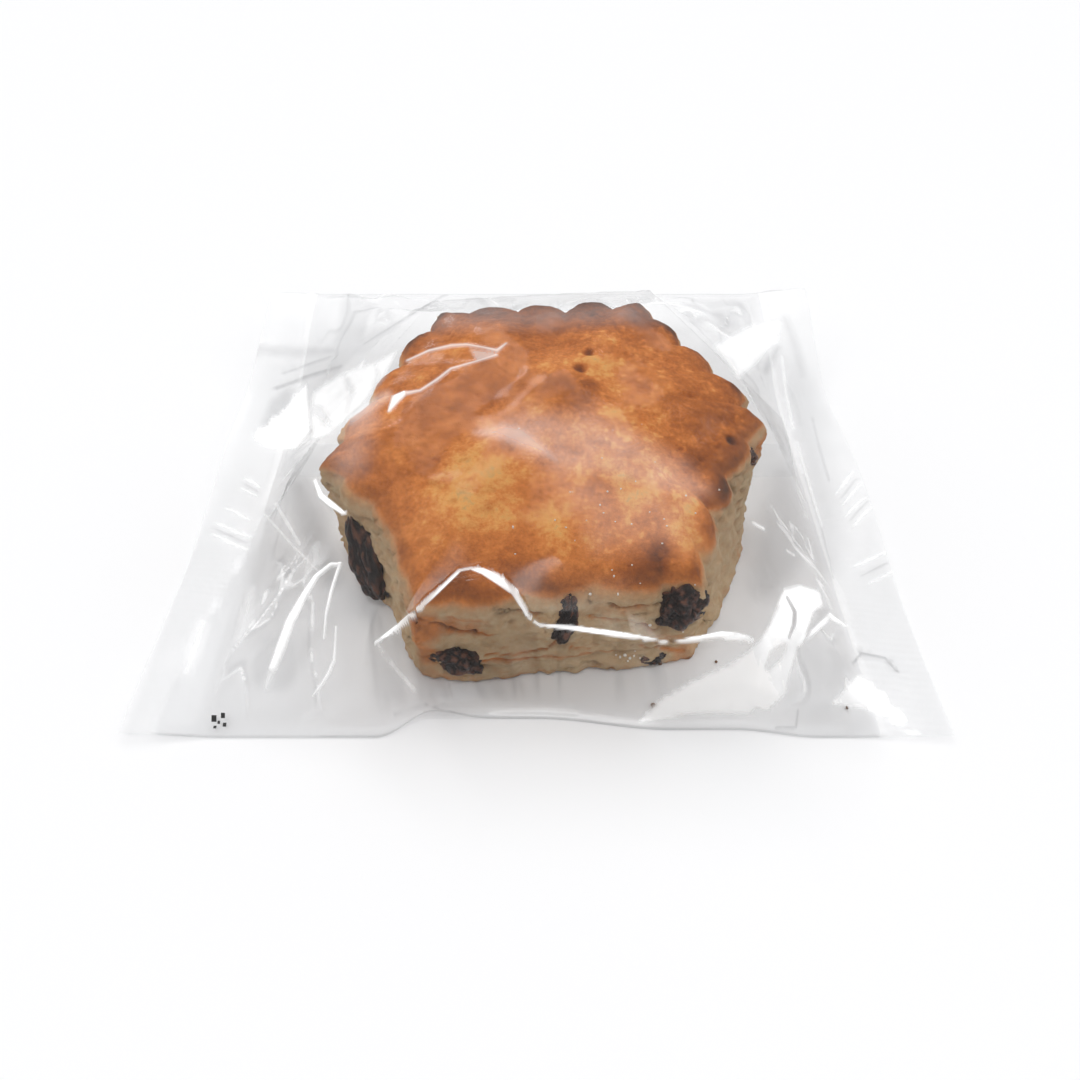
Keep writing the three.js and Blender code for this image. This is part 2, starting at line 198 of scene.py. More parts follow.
# ---------------------------------------------------------------- materials
class Nodes:
    """A short way to write a node tree."""

    def __init__(self, name):
        self.material = bpy.data.materials.new(name)
        self.material.use_nodes = True
        self.tree = self.material.node_tree
        self.tree.nodes.clear()
        self.output = self.tree.nodes.new("ShaderNodeOutputMaterial")

    def add(self, kind, inputs=None, **settings):
        node = self.tree.nodes.new("ShaderNode" + kind)
        for key, value in settings.items():
            setattr(node, key, value)
        for key, value in (inputs or {}).items():
            if isinstance(value, bpy.types.NodeSocket):
                self.tree.links.new(value, node.inputs[key])
            else:
                node.inputs[key].default_value = value
        return node

    def surface(self, socket):
        self.tree.links.new(socket, self.output.inputs["Surface"])
        return self.material

    def value(self, name):
        return self.add("Attribute", attribute_name=name).outputs["Fac"]

    def maths(self, operation, a, b, clamp=False):
        node = self.add("Math", {0: a, 1: b}, operation=operation, use_clamp=clamp)
        return node.outputs[0]

    def ramp(self, factor, stops):
        node = self.add("ValToRGB", {"Fac": factor})
        elements = node.color_ramp.elements
        while len(elements) < len(stops):
            elements.new(0.5)
        for element, (place, colour) in zip(elements, stops):
            element.position = place
            element.color = (*colour, 1)
        return node.outputs["Color"]

    def blend(self, factor, a, b):
        return self.add("Mix", {0: factor, 6: a, 7: b}, data_type="RGBA").outputs[2]

    def grain(self, size, detail=4.0, roughness=0.55):
        """Noise from 0 to 1 with spots of a size in millimetres."""
        place = self.add("TexCoord").outputs["Object"]
        inputs = {"Vector": place, "Scale": 1 / (size * MM), "Detail": detail, "Roughness": roughness}
        return self.add("TexNoise", inputs).outputs[0]

    def bump(self, height, strength, distance):
        inputs = {"Height": height, "Strength": strength, "Distance": distance * MM}
        return self.add("Bump", inputs).outputs[0]

    def vector(self, operation, inputs):
        return self.add("VectorMath", inputs, operation=operation).outputs[0]


def crust_material():
    n = Nodes("baked_crust")
    browning_and_shade = n.value("browning_and_shade")
    mottle = n.maths("MULTIPLY", n.maths("SUBTRACT", n.grain(4.2, 6.0, 0.6), 0.5), 0.5)
    speck = n.maths("MULTIPLY", n.maths("SUBTRACT", n.grain(0.8, 5.0, 0.75), 0.5), 0.42)
    level = n.maths("ADD", browning_and_shade, n.maths("ADD", mottle, speck), clamp=True)
    crust = n.ramp(
        level,
        [
            (0.0, (0.50, 0.36, 0.20)),
            (0.14, (0.62, 0.40, 0.18)),
            (0.26, (0.90, 0.46, 0.145)),
            (0.38, (0.76, 0.27, 0.072)),
            (0.50, (0.56, 0.18, 0.046)),
            (0.64, (0.37, 0.115, 0.034)),
            (0.82, (0.19, 0.064, 0.028)),
            (1.0, (0.085, 0.034, 0.022)),
        ],
    )
    uneven = n.maths("ADD", n.maths("MULTIPLY", n.grain(1.6, 6.0, 0.7), 0.6), 0.65)
    flour = n.maths("MULTIPLY", n.value("floury"), uneven, clamp=True)
    crumb_tone = n.ramp(n.grain(2.4, 6.0, 0.7), [(0.32, (0.47, 0.325, 0.185)), (0.68, (0.62, 0.485, 0.31))])
    colour = n.blend(flour, crust, crumb_tone)
    bump = n.bump(n.grain(0.45, 6.0, 0.7), 1.0, 0.3)
    dull = n.ramp(level, [(0.0, (0.9,) * 3), (0.35, (0.7,) * 3), (1.0, (0.58,) * 3)])
    shader = n.add(
        "BsdfPrincipled",
        {
            "Base Color": colour,
            "Roughness": dull,
            "Normal": bump,
            "Specular IOR Level": 0.1,
            "Subsurface Weight": 0.12,
            "Subsurface Radius": (1.0, 0.5, 0.25),
            "Subsurface Scale": 0.0012,
        },
    )
    return n.surface(shader.outputs[0])


def fruit_material():
    n = Nodes("sultana_skin")
    tone_shade_and_highlight = n.value("tone_shade_and_highlight")
    # The skin's tone, with painted shade in its wrinkles and painted highlight on its ridges.
    tone = n.maths("ADD", tone_shade_and_highlight, n.maths("MULTIPLY", n.grain(1.8), 0.35), clamp=True)
    colour = n.ramp(
        tone,
        [
            (0.0, (0.004, 0.002, 0.002)),
            (0.45, (0.016, 0.007, 0.005)),
            (0.8, (0.055, 0.02, 0.012)),
            (1.0, (0.14, 0.055, 0.03)),
        ],
    )
    bump = n.bump(n.grain(0.7, 5.0, 0.7), 0.9, 0.35)
    skin = {"Base Color": colour, "Roughness": 0.32, "Normal": bump, "Specular IOR Level": 0.36}
    return n.surface(n.add("BsdfPrincipled", skin).outputs[0])


def film_material():
    """Clear film: see-through with a glossy face, with painted white highlights and painted grey shade along
    its folds, a painted reflection over the crust, and milky at the seals.
    """
    n = Nodes("clear_film")
    # The film's clear tint, darkened to grey where painted shade lies on it.
    tint_and_shade = n.blend(n.value("painted_shade"), (0.965, 0.966, 0.967, 1), (0.40, 0.40, 0.41, 1))
    clear = n.add("BsdfTransparent", {"Color": tint_and_shade})
    gloss = n.add("BsdfGlossy", {"Color": (1, 1, 1, 1), "Roughness": 0.15})
    edge = n.add("Fresnel", {"IOR": 1.5})
    mirror = n.maths("MULTIPLY", edge.outputs[0], 0.3)
    face = n.add("MixShader", {0: mirror, 1: clear.outputs[0], 2: gloss.outputs[0]})
    # The painted highlights are lit as if they lay level, from both of their faces, and glow a little
    # besides: a painted glint.
    own = n.add("NewGeometry").outputs["Normal"]
    upward = n.vector("ADD", {0: n.vector("SCALE", {0: own, "Scale": 0.05}), 1: (0.0, 0.0, 1.0)})
    downward = n.vector("SCALE", {0: upward, "Scale": -1.0})
    front = n.add("BsdfDiffuse", {"Color": (0.75, 0.75, 0.75, 1), "Normal": upward})
    back = n.add("BsdfTranslucent", {"Color": (0.4, 0.4, 0.4, 1), "Normal": downward})
    glint = n.add("Emission", {"Color": (1, 1, 1, 1), "Strength": 0.4})
    both = n.add("AddShader", {0: front.outputs[0], 1: back.outputs[0]})
    milk_and_painted_light = n.add("AddShader", {0: both.outputs[0], 1: glint.outputs[0]})
    # How much of the film turns white: a little at the milky seals, the painted reflection, and the painted
    # highlights along the folds.
    seals = n.maths("MULTIPLY", n.value("sealed"), 0.05)
    # Painted reflection, in uneven patches.
    patchy = n.maths("ADD", n.maths("MULTIPLY", n.grain(3.0), 0.8), 0.6)
    reflection_smears = n.maths("MULTIPLY", n.value("painted_reflection"), patchy)
    fold_highlights = n.maths("ADD", n.value("painted_highlight"), 0.004)
    amount = n.maths("ADD", n.maths("ADD", seals, reflection_smears), fold_highlights, clamp=True)
    # The painted highlights cast a lighter shadow than such a white would.
    shadow = n.add("LightPath").outputs["Is Shadow Ray"]
    lit = n.maths("SUBTRACT", 1.0, n.maths("MULTIPLY", shadow, 0.4))
    whole = n.add("MixShader", {0: n.maths("MULTIPLY", amount, lit), 1: face.outputs[0], 2: milk_and_painted_light.outputs[0]})
    return n.surface(whole.outputs[0])


def plain_material(name, colour, roughness):
    """One colour with darker spots of it."""
    n = Nodes(name)
    darker = (*[c * 0.6 for c in colour], 1)
    tone = n.blend(n.maths("MULTIPLY", n.grain(0.6), 0.5), (*colour, 1), darker)
    shader = n.add("BsdfPrincipled", {"Base Color": tone, "Roughness": roughness})
    return n.surface(shader.outputs[0])


# ---------------------------------------------------------------- the scone
SCONE_AT = np.array([1.3, -10.5, 0.3])
CORNERS = [(4, 38.5), (61.5, 41.3), (122, 38.9), (190, 38.9), (240.5, 40.0), (307.5, 39.9)]
FLUTES, FLUTE_DEPTH, BLUNTING = 4, 2.4, 1.3
EDGE_HEIGHT, EDGE_RISE, DOME = 21.4, 0.11, 6.0
SHOULDER_WIDTH, SHOULDER_HEIGHT = 4.0, 3.0
FOOT_INSET, FOOT_ROUNDING = 2.7, 0.9
SIDE_FLUTES = np.array([1, 1, 1, 0.35, 0.45, 0.8])
TOP_DRAW = np.array([0, 0, 0, 3.8, 1.0, 2.6])
FOOT_DRAW = np.array([0, 0, 0, 2.9, -0.2, -0.5])
SPLIT_DEPTH, SPLIT_AT, LUMP, MIDDLE_REACH = 0.9, 0.42, 0.6, 35.5


def side_at(angle):
    """Reach of the cutter's straight sides in a direction, how far along its side, which side."""
    turn = np.mod(angle, TURN)
    reach, along, side = np.zeros_like(turn), np.zeros_like(turn), np.zeros_like(turn, int)
    for i, (start, ra) in enumerate(CORNERS):
        stop, rb = CORNERS[(i + 1) % len(CORNERS)]
        a = math.radians(start)
        b = math.radians(stop + (360 if stop < start else 0))
        t = np.where(turn < a, turn + TURN, turn)
        r = ra * rb * math.sin(b - a) / (ra * np.sin(t - a) + rb * np.sin(b - t) + 1e-12)
        length = math.sqrt(ra**2 + rb**2 - 2 * ra * rb * math.cos(b - a))
        walked = np.sqrt(np.maximum(0, ra**2 + r**2 - 2 * ra * r * np.cos(t - a)))
        here = (t >= a) & (t <= b)
        reach = np.where(here, r, reach)
        along = np.where(here, walked / length, along)
        side = np.where(here, i, side)
    return reach, along, side


def outline(angle, flute):
    """Reach of the fluted wall, with its flutes at a share of their depth."""
    reach, along, side = side_at(angle)
    corner = np.minimum(along, 1 - along)
    blunt = BLUNTING * bell(corner / 0.1)
    lobe = np.abs(np.cos(math.pi * FLUTES * along)) ** 0.8 - 0.65
    here = SIDE_FLUTES[side]
    beside = SIDE_FLUTES[np.mod(side + np.where(along < 0.5, -1, 1), len(CORNERS))]
    left = mix((here + beside) / 2, here, smooth(corner / 0.25))
    uneven = 1 + 0.2 * np.sin(5 * angle + side) + 0.15 * np.sin(11 * angle)
    return reach - blunt + FLUTE_DEPTH * flute * left * lobe * uneven + 0.35 * np.sin(3 * angle + 1.2)


def edge_height(y):
    return EDGE_HEIGHT + EDGE_RISE * y


def top_height(x, y, share):
    """Height of the domed top. The share of the way from the middle to the wall comes along."""
    bumps = LUMP * (
        np.sin(0.19 * x + 0.6) * np.sin(0.16 * y + 1.1)
        + 0.55 * np.sin(0.34 * x - 0.21 * y + 2.0)
        + 0.4 * np.sin(0.27 * y + 0.31 * x)
    )
    rounded = mix(np.hypot(x, y) / MIDDLE_REACH, share, smooth(share * 1.1))
    dome = DOME * (1 - np.minimum(1, rounded) ** 2.2) * 0.92
    return edge_height(y) + dome + bumps * (1 - share**4)


def wall_reach(angle, share):
    """Reach of the wall at a share of its height."""
    split = SPLIT_DEPTH * bell((share - SPLIT_AT - 0.08 * np.sin(2 * angle + 0.5)) / 0.1)
    split = split * (0.6 + 0.4 * np.sin(7 * angle + 1))
    layers = 0.3 * np.sin(13 * share + 3 * angle) * np.sin(5 * angle)
    lean = smooth((0.35 + np.sin(angle)) / 0.5) * (0.7 - 0.3 * np.cos(angle))
    inset = FOOT_INSET * lean * (1 - share) ** 1.3
    _, along, side = side_at(angle)
    middle = np.sin(math.pi * np.clip(along, 0, 1)) ** 0.9
    slant = middle * (TOP_DRAW[side] * share**1.4 + FOOT_DRAW[side] * (1 - share))
    return outline(angle, 0.3 + 0.7 * share) - inset - slant - split + layers


def shoulder_foot(angle):
    return edge_height(side_at(angle)[0] * np.sin(angle)) - SHOULDER_HEIGHT


# Spots of the top crust that baked more or less than the rest: x, y, radius, change.
BAKED_SPOTS = [
    (-10.7, -14.8, 6.0, -0.21),
    (-8.0, -19.5, 4.0, -0.04),
    (-0.8, 17.7, 6.0, 0.10),
    (2.5, -25.0, 3.5, -0.06),
    (8.6, 11.0, 4.5, -0.12),
    (20.8, -23.0, 4.2, -0.22),
    (15.0, -15.0, 7.0, -0.06),
    (9.0, -5.0, 6.0, -0.07),
    (7.6, 4.6, 1.8, 0.16),
    (4.4, 2.4, 4.4, 0.20),
    (-6.4, -9.0, 2.4, 0.12),
    (-3.7, -30.5, 4.5, 0.17),
    (5.0, -31.0, 4.5, 0.03),
    (-12.0, -32.0, 4.5, 0.16),
    (17.0, -25.5, 2.0, 0.26),
    (30.0, -0.5, 6.0, 0.08),
    (15.0, -28.5, 3.5, 0.20),
    (29.5, -12.4, 4.2, 0.18),
    (24.0, -9.0, 5.0, 0.14),
    (27.0, 2.0, 7.0, 0.13),
    (-28.0, -7.0, 6.0, 0.10),
    (-16.0, 3.0, 8.0, 0.06),
    (13.0, 28.0, 7.0, 0.08),
]
# The same on the wall: direction, height, half width, half height, change.
WALL_SPOTS = [
    (241, 9.0, 2.8, 7.0, 0.28),
    (249, 12.5, 6.0, 2.6, 0.26),
    (244, 5.0, 3.5, 5.0, 0.10),
    (285, 13.5, 6.0, 1.8, 0.14),
    (238, 14.0, 4.0, 3.0, 0.25),
    (300, 6.5, 5.0, 2.6, 0.18),
    (293, 13.5, 5.0, 2.5, 0.10),
    (306, 3.0, 3.0, 3.0, 0.14),
    (262, 5.0, 6.0, 1.4, 0.14),
    (3, 16.5, 5.0, 3.6, 0.42),
    (95, 8.0, 9.0, 4.0, 0.12),
    (160, 11.0, 8.0, 3.0, 0.12),
]
PITS = [(7.5, 14.1, 1.0), (6.0, 9.4, 1.1), (30.6, -3.2, 1.0)]  # in the top: x, y, radius
# Cracks and grooves of the front wall in pixels of the photograph: depth in millimetres, half width
# in pixels, points.
FRONT_CRACKS = [
    (0.55, 1.0, [(431, 624), (448, 627), (458, 633), (473, 634)]),
    (0.90, 1.8, [(472, 633), (476, 635)]),
    (0.40, 0.8, [(480, 635), (494, 635)]),
    (0.45, 1.1, [(485, 655), (515, 655), (531, 652), (547, 649), (558, 641), (566, 640)]),
    (0.35, 0.9, [(569, 648), (591, 649)]),
    (0.40, 1.2, [(470, 662), (515, 661), (542, 659), (569, 657), (596, 653), (618, 652)]),
    (0.30, 1.0, [(508, 606), (528, 611), (540, 618)]),
    (0.30, 1.0, [(590, 618), (622, 622), (650, 628)]),
    (0.35, 1.0, [(640, 648), (662, 650), (684, 648)]),
]


def scone_mesh():
    """Rings of points from the underside over the wall to the top: points, place of each, faces."""
    columns, wall_rings, shoulder_rings = 600, 45, 12
    angle = np.arange(columns) * TURN / columns
    ca, sa = np.cos(angle), np.sin(angle)
    rings, place = [], []  # place: 0 underside, 1 wall, 2 shoulder, 3 top; and its share

    def ring(reach, z, kind, share):
        reach, z = np.broadcast_to(reach, angle.shape), np.broadcast_to(z, angle.shape)
        rings.append(np.stack([reach * ca, reach * sa, z], axis=1))
        place.append(np.stack([np.full(columns, kind), np.broadcast_to(share, angle.shape)], axis=1))

    foot, wide = wall_reach(angle, 0), wall_reach(angle, 1)
    for share in (0.0005, 0.2, 0.4, 0.6, 0.75, 0.86, 0.93, 0.97):
        ring((foot - FOOT_ROUNDING) * share, 0, 0, share)
    for k in range(5):
        t = k / 5 * math.pi / 2
        ring(foot - FOOT_ROUNDING * (1 - math.sin(t)), FOOT_ROUNDING * (1 - math.cos(t)), 1, 0)
    low = shoulder_foot(angle)
    for share in np.arange(wall_rings) / (wall_rings - 1):
        ring(wall_reach(angle, np.full(columns, share)), mix(FOOT_ROUNDING, low, share), 1, share)
    for k in range(1, shoulder_rings + 1):
        t = k / shoulder_rings * math.pi / 2
        reach = wide - SHOULDER_WIDTH * (1 - math.cos(t))
        high = top_height(reach * ca, reach * sa, reach / wide)
        ring(reach, mix(low, high, math.sin(t)), 2, k / shoulder_rings)
    inner = (wide - SHOULDER_WIDTH) / wide
    for share in np.linspace(1, 0.004, 96)[1:]:
        reach = wide * inner * share
        ring(reach, top_height(reach * ca, reach * sa, reach / wide), 3, reach / wide)
    points, place = np.concatenate(rings), np.concatenate(place)
    faces = grid_faces(len(rings), columns, wrap=True)
    faces.append(tuple(range(columns))[::-1])
    faces.append(tuple((len(rings) - 1) * columns + c for c in range(columns)))
    return points, place, faces


def scone():
    points, place, faces = scone_mesh()
    normal = normals_of(points, faces[:-2])
    x, y, z = points.T
    kind, share = place.T
    top = np.where(kind == 3, 1.0, np.where(kind == 2, smooth(share), 0.0))
    wall = 1 - top
    depth = np.maximum(0, edge_height(y) - z)  # how far below the top's edge

    lumps = 0.36 * layered(points, 6.0, 3, 1) + 0.2 * layered(points, 2.0, 3, 2)
    lumps = lumps + 0.09 * noise(points, 0.9, 4)
    pores = -0.32 * smooth((noise(points, 1.5, 5) - 0.45) / 0.3) * smooth((noise(points, 9.0, 6) + 0.2) / 0.5)
    relief, pit = lumps + pores, 0.0
    for px, py, radius in PITS:
        pit = pit + np.exp(-(((x - px) ** 2 + (y - py) ** 2) / radius**2) ** 1.5) * (z > 10)
    relief = relief - 0.75 * pit
    crumb = 0.55 * layered(points, 3.2, 3, 11) + 0.5 * layered(points, 1.3, 3, 12)
    flat = points * np.array([1, 1, 3.6])
    crack = layered(flat, 9.0, 3, 15)
    tear = -0.95 * bell(crack / 0.045) * smooth((noise(points, 11.0, 16) + 0.45) / 0.5)
    groove_at = 3.1 + 0.7 * noise(points * np.array([1, 1, 0.05]), 9.0, 18)
    groove = -0.6 * bell((z - groove_at) / 0.42) * smooth((noise(points, 14.0, 19) + 0.6) / 0.6)
    u, v = seen_at(points + SCONE_AT)
    cracked = 0.0
    for deep, wide, line in FRONT_CRACKS:
        d, _ = to_line(u, v + 1.3 * noise(points, 2.0, 24), [(pu, pv, 0) for pu, pv in line])
        cracked = np.maximum(cracked, deep * bell(d / (wide * 1.2)) * (y < 0) * (kind == 1))
    rough = crumb + tear + groove - cracked + 0.55 * bell(z / 2.4)
    rough = rough * np.where(kind == 0, 0.15, 1.0)
    relief = mix(rough * smooth(0.25 + depth / 3.0), relief, top)
    relief = np.where(kind == 0, 0.1 * layered(points, 2.0, 3, 21), relief)
    points = points + normal * relief[:, None]
    points[:, 2] = np.maximum(points[:, 2], 0.0)

    # How brown each place is: the top by heat, the wall only just under its edge and at the foot; with
    # painted shade in the pits and in the wall's cracks.
    angle = np.arctan2(y, x)
    _, along, side = side_at(angle)
    lobes = np.abs(np.cos(math.pi * FLUTES * along)) * SIDE_FLUTES[side]
    out = np.hypot(x, y) / wall_reach(angle, 1)
    # The pits are painted darker: painted shade in them.
    browning_and_shade = 0.41 + 0.10 * layered(points, 13.0, 3, 31) + 0.09 * layered(points, 3.4, 3, 32) + 0.4 * pit
    # Darker towards the back.
    browning_and_shade = browning_and_shade + 0.25 * smooth((y - 17) / 14)
    browning_and_shade = browning_and_shade + 0.34 * smooth((out - 0.86) / 0.12) * (0.2 + 0.8 * lobes**2)
    # A little darker towards the back and the right.
    browning_and_shade = browning_and_shade + 0.05 * smooth((y - 5) / 25) + 0.05 * smooth((x - 12) / 16)
    for px, py, radius, change in BAKED_SPOTS:
        edge = radius * (1 + 0.3 * noise(points, 4.0, 33))
        browning_and_shade = browning_and_shade + change * np.exp(-(((x - px) ** 2 + (y - py) ** 2) / edge**2))
    browning_and_shade = browning_and_shade - 0.09 * smooth((noise(points, 0.9, 36) - 0.3) / 0.4) * smooth((x + 2) / 12) * top
    browning_and_shade = np.maximum(browning_and_shade, 0.27 * top)
    fall = 1.5 + 0.7 * noise(points, 6.0, 37) + 0.4 * noise(points, 2.2, 34)
    fade = np.exp(-((depth / fall) ** 2) * 1.4)
    foot = 0.20 * bell(z / (2.0 + 1.0 * noise(points, 7.0, 38)))
    crust = browning_and_shade * np.where(top > 0.98, 1.0, fade)
    for at, height, wide, tall, change in WALL_SPOTS:
        turned = np.angle(np.exp(1j * (angle - math.radians(at)))) * np.hypot(x, y)
        foot = foot + change * np.exp(-((turned / wide) ** 2) - ((z - height) / tall) ** 2)
    browning_and_shade = np.maximum(crust, 0.10 + foot + 0.10 * layered(points, 3.0, 3, 39))
    # The wall's tears and the front cracks are painted darker: painted shade in them.
    browning_and_shade = browning_and_shade + 0.14 * bell(crack / 0.06) * wall * (depth > 3) + 0.8 * cracked
    browning_and_shade = browning_and_shade + 0.09 * layered(points, 1.2, 3, 42) * wall
    browning_and_shade = np.where(kind == 0, 0.36 + 0.14 * layered(points, 6.0, 4, 40), browning_and_shade)

    obj = make("scone_dough", points + SCONE_AT, faces, crust_material())
    floury = (1 - 0.85 * smooth((browning_and_shade - 0.20) / 0.32)) * wall * np.where(kind == 0, 0.4, 0.95)
    paint(obj, "browning_and_shade", mix(browning_and_shade, np.maximum(browning_and_shade, 0.53), wall))
    paint(obj, "floury", floury)
    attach(obj, "root")
    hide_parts("scone")
    return obj


# ---------------------------------------------------------------- sultanas
# name, direction, height, how far the middle stands out, size, turn, lean: as in the solids
SULTANAS = [
    ("sultana_left", 208, 7.9, 0.4, (6.8, 15.0, 7.0), 42, 4),
    ("sultana_front_left", 247.3, 4.4, -1.0, (8.6, 5.2, 5.0), -8, 0),
    ("sultana_front_middle", 275, 11.4, -1.6, (3.8, 10.0, 5.0), -10, 0),
    ("sultana_front_right", 304.5, 12.8, -1.6, (8.2, 8.6, 6.0), 30, 0),
    ("sultana_foot_right", 300, 1.4, -1.2, (5.8, 2.2, 4.0), 0, 0),
    ("sultana_right", 14, 9.5, -1.6, (7.5, 5.5, 5.0), 35, 0),
    ("sultana_back_right", 40, 7.5, -1.0, (9.0, 6.0, 5.4), 20, 0),
    ("sultana_back", 98, 12.5, -1.2, (6.0, 8.5, 5.2), -25, 0),
    ("sultana_back_left", 152, 6.5, -0.9, (8.2, 5.4, 5.0), 10, 0),
    ("sultana_top_right", 356.5, 17.6, -1.0, (3.2, 4.6, 3.4), 30, 30),
]
UNDER_CRUST = ("sultana_top_right",)  # browned with the crust round it


def ball(detail):
    """Points of a ball of radius 1, and its faces of three."""
    shape = bmesh.new()
    bmesh.ops.create_icosphere(shape, subdivisions=detail, radius=1)
    points = np.array([v.co for v in shape.verts])
    faces = [tuple(v.index for v in f.verts) for f in shape.faces]
    shape.free()
    return points, faces


BALL = ball(5)
fruit = fruit_material()


def sultana(name, centre, side, up, out, size, phase):
    """A wrinkled sultana. Its width, length and depth run along side, up and out."""
    points, faces = BALL
    x, y, z = points.T
    around = np.arctan2(z, x)
    wrinkle = 1 + 0.08 * np.sin(5 * around + 3 * y + phase) + 0.05 * np.sin(9 * y + 2 * phase)
    width, length, depth = size
    narrowed = wrinkle * width / 2 * (1 - 0.15 * y)
    shape = points * np.stack([narrowed, wrinkle * length / 2, wrinkle * depth / 2], axis=1)
    long_way = shape * np.array([1.0, 0.45, 1.0])
    fold = np.abs(layered(long_way + 7 * phase, 2.1, 3, 50))
    fine = np.abs(layered(long_way + 3 * phase, 0.9, 3, 55))
    shape = shape + points * (0.34 - 0.42 * np.exp(-fold * 9) - 0.44 * np.exp(-fine * 8))[:, None]
    placed = centre + shape[:, :1] * side + shape[:, 1:2] * up + shape[:, 2:] * out
    obj = make(name.replace("sultana", "fruit"), placed, faces, fruit)
    # Browner under the crust; darker in the wrinkles as painted shade, lighter on the ridges as painted
    # highlight.
    brown = 0.55 if name in UNDER_CRUST else 0.20
    paint(obj, "tone_shade_and_highlight", brown + 0.62 * smooth((fine - 0.08) / 0.3) - 0.3 * np.exp(-fold * 9))
    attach(obj, "root")
    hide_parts(name)


def sultanas():
    for phase, (name, at, height, proud, size, turn, lean) in enumerate(SULTANAS, 1):
        a = math.radians(at)
        radial, upright = np.array([math.cos(a), math.sin(a), 0]), np.array([0, 0, 1.0])
        low = float(shoulder_foot(np.array([a]))[0])
        share = np.clip((height - FOOT_ROUNDING) / (low - FOOT_ROUNDING), 0, 1)
        reach = float(wall_reach(np.array([a]), np.array([share]))[0])
        centre = radial * (reach + proud) + SCONE_AT + np.array([0, 0, height])
        tilt, t = math.radians(lean), math.radians(turn)
        out = radial * math.cos(tilt) + upright * math.sin(tilt)
        up = upright * math.cos(tilt) - radial * math.sin(tilt)
        up = up * math.cos(t) + np.cross(out, up) * math.sin(t)
        sultana(name, centre, np.cross(up, out), up, out, size, phase)


# ---------------------------------------------------------------- the film bag
HALF_LENGTH, HALF_DEPTH = 62.0, 55.5
SEAL, FOLD = 11.0, 1.6
BACK_LIFT, END_LIFT = 8.5, 3.0
LOBE_REACH, FILM_GAP = 1.6, 1.1
LID_GAP, LEAST_GAP, CREASED_GAP = 0.75, 0.35, 0.3  # between crust and film: in the middle, and least
SKIRT_FOOT, SEAL_HEIGHT, FOLD_HEIGHT = 0.7, 0.42, 0.2  # over the bag's lifted edges
RIB_PITCH, RIB_HEIGHT = 1.3, 0.17
RAISED_FOLD = (-15.0, 4.5, 2.2)  # where the front fold stands off the table: x, half width, height
LOWER_FILM = 0.12  # the least height of the lower film, over the back seam
BACK_SEAM = (2.0, 12.0)  # the seam's two edges in y
# The printed mark: where it is, how far apart its squares are, and how wide the largest is. Of each
# square, MARK_SQUARES gives the place across and up and the width, in parts of these.
MARK_AT, MARK_PITCH, MARK_WIDTH = (-48.4, -53.0), 1.2, 0.75
MARK_LIFT = 0.12  # over the film
MARK_SQUARES = [(0, 0, 1.0), (1.1, 0.3, 0.8), (0.6, -0.35, 0.5), (1.35, -0.6, 0.7), (0.2, -0.9, 0.6)]
PIXELS = 5.6  # of the photograph for each millimetre of the bag, about
# The film's heights are kept in a table with this step, over this half length and half depth.
TABLE_STEP, TABLE_REACH = 0.25, (64, 58)
# Steps of the film's mesh in most places, at the steep front and along the seals, and the left, right
# and back of the steep front.
MESH_STEP, FRONT_STEP, SEAL_STEP = 0.5, 0.25, 0.22
FINE_FRONT = (-32.0, 46.0, -38.0)

# The film's rim, where it turns down from the lid over the scone to the sides: direction from the
# scone's middle in degrees, reach and height. Past BRIM_ENDS the rim follows the scone.
BRIM_ENDS = (226, 322)
BRIM = [
    (240, 44.8, 16.3),
    (243, 37.4, 18.8),
    (247, 32.2, 20.5),
    (253, 30.4, 20.5),
    (259, 31.2, 19.7),
    (264, 33.4, 18.2),
    (268, 36.4, 16.5),
    (275, 37.2, 16.2),
    (288, 40.1, 16.0),
    (297, 43.5, 16.2),
    (306, 47.1, 17.6),
]
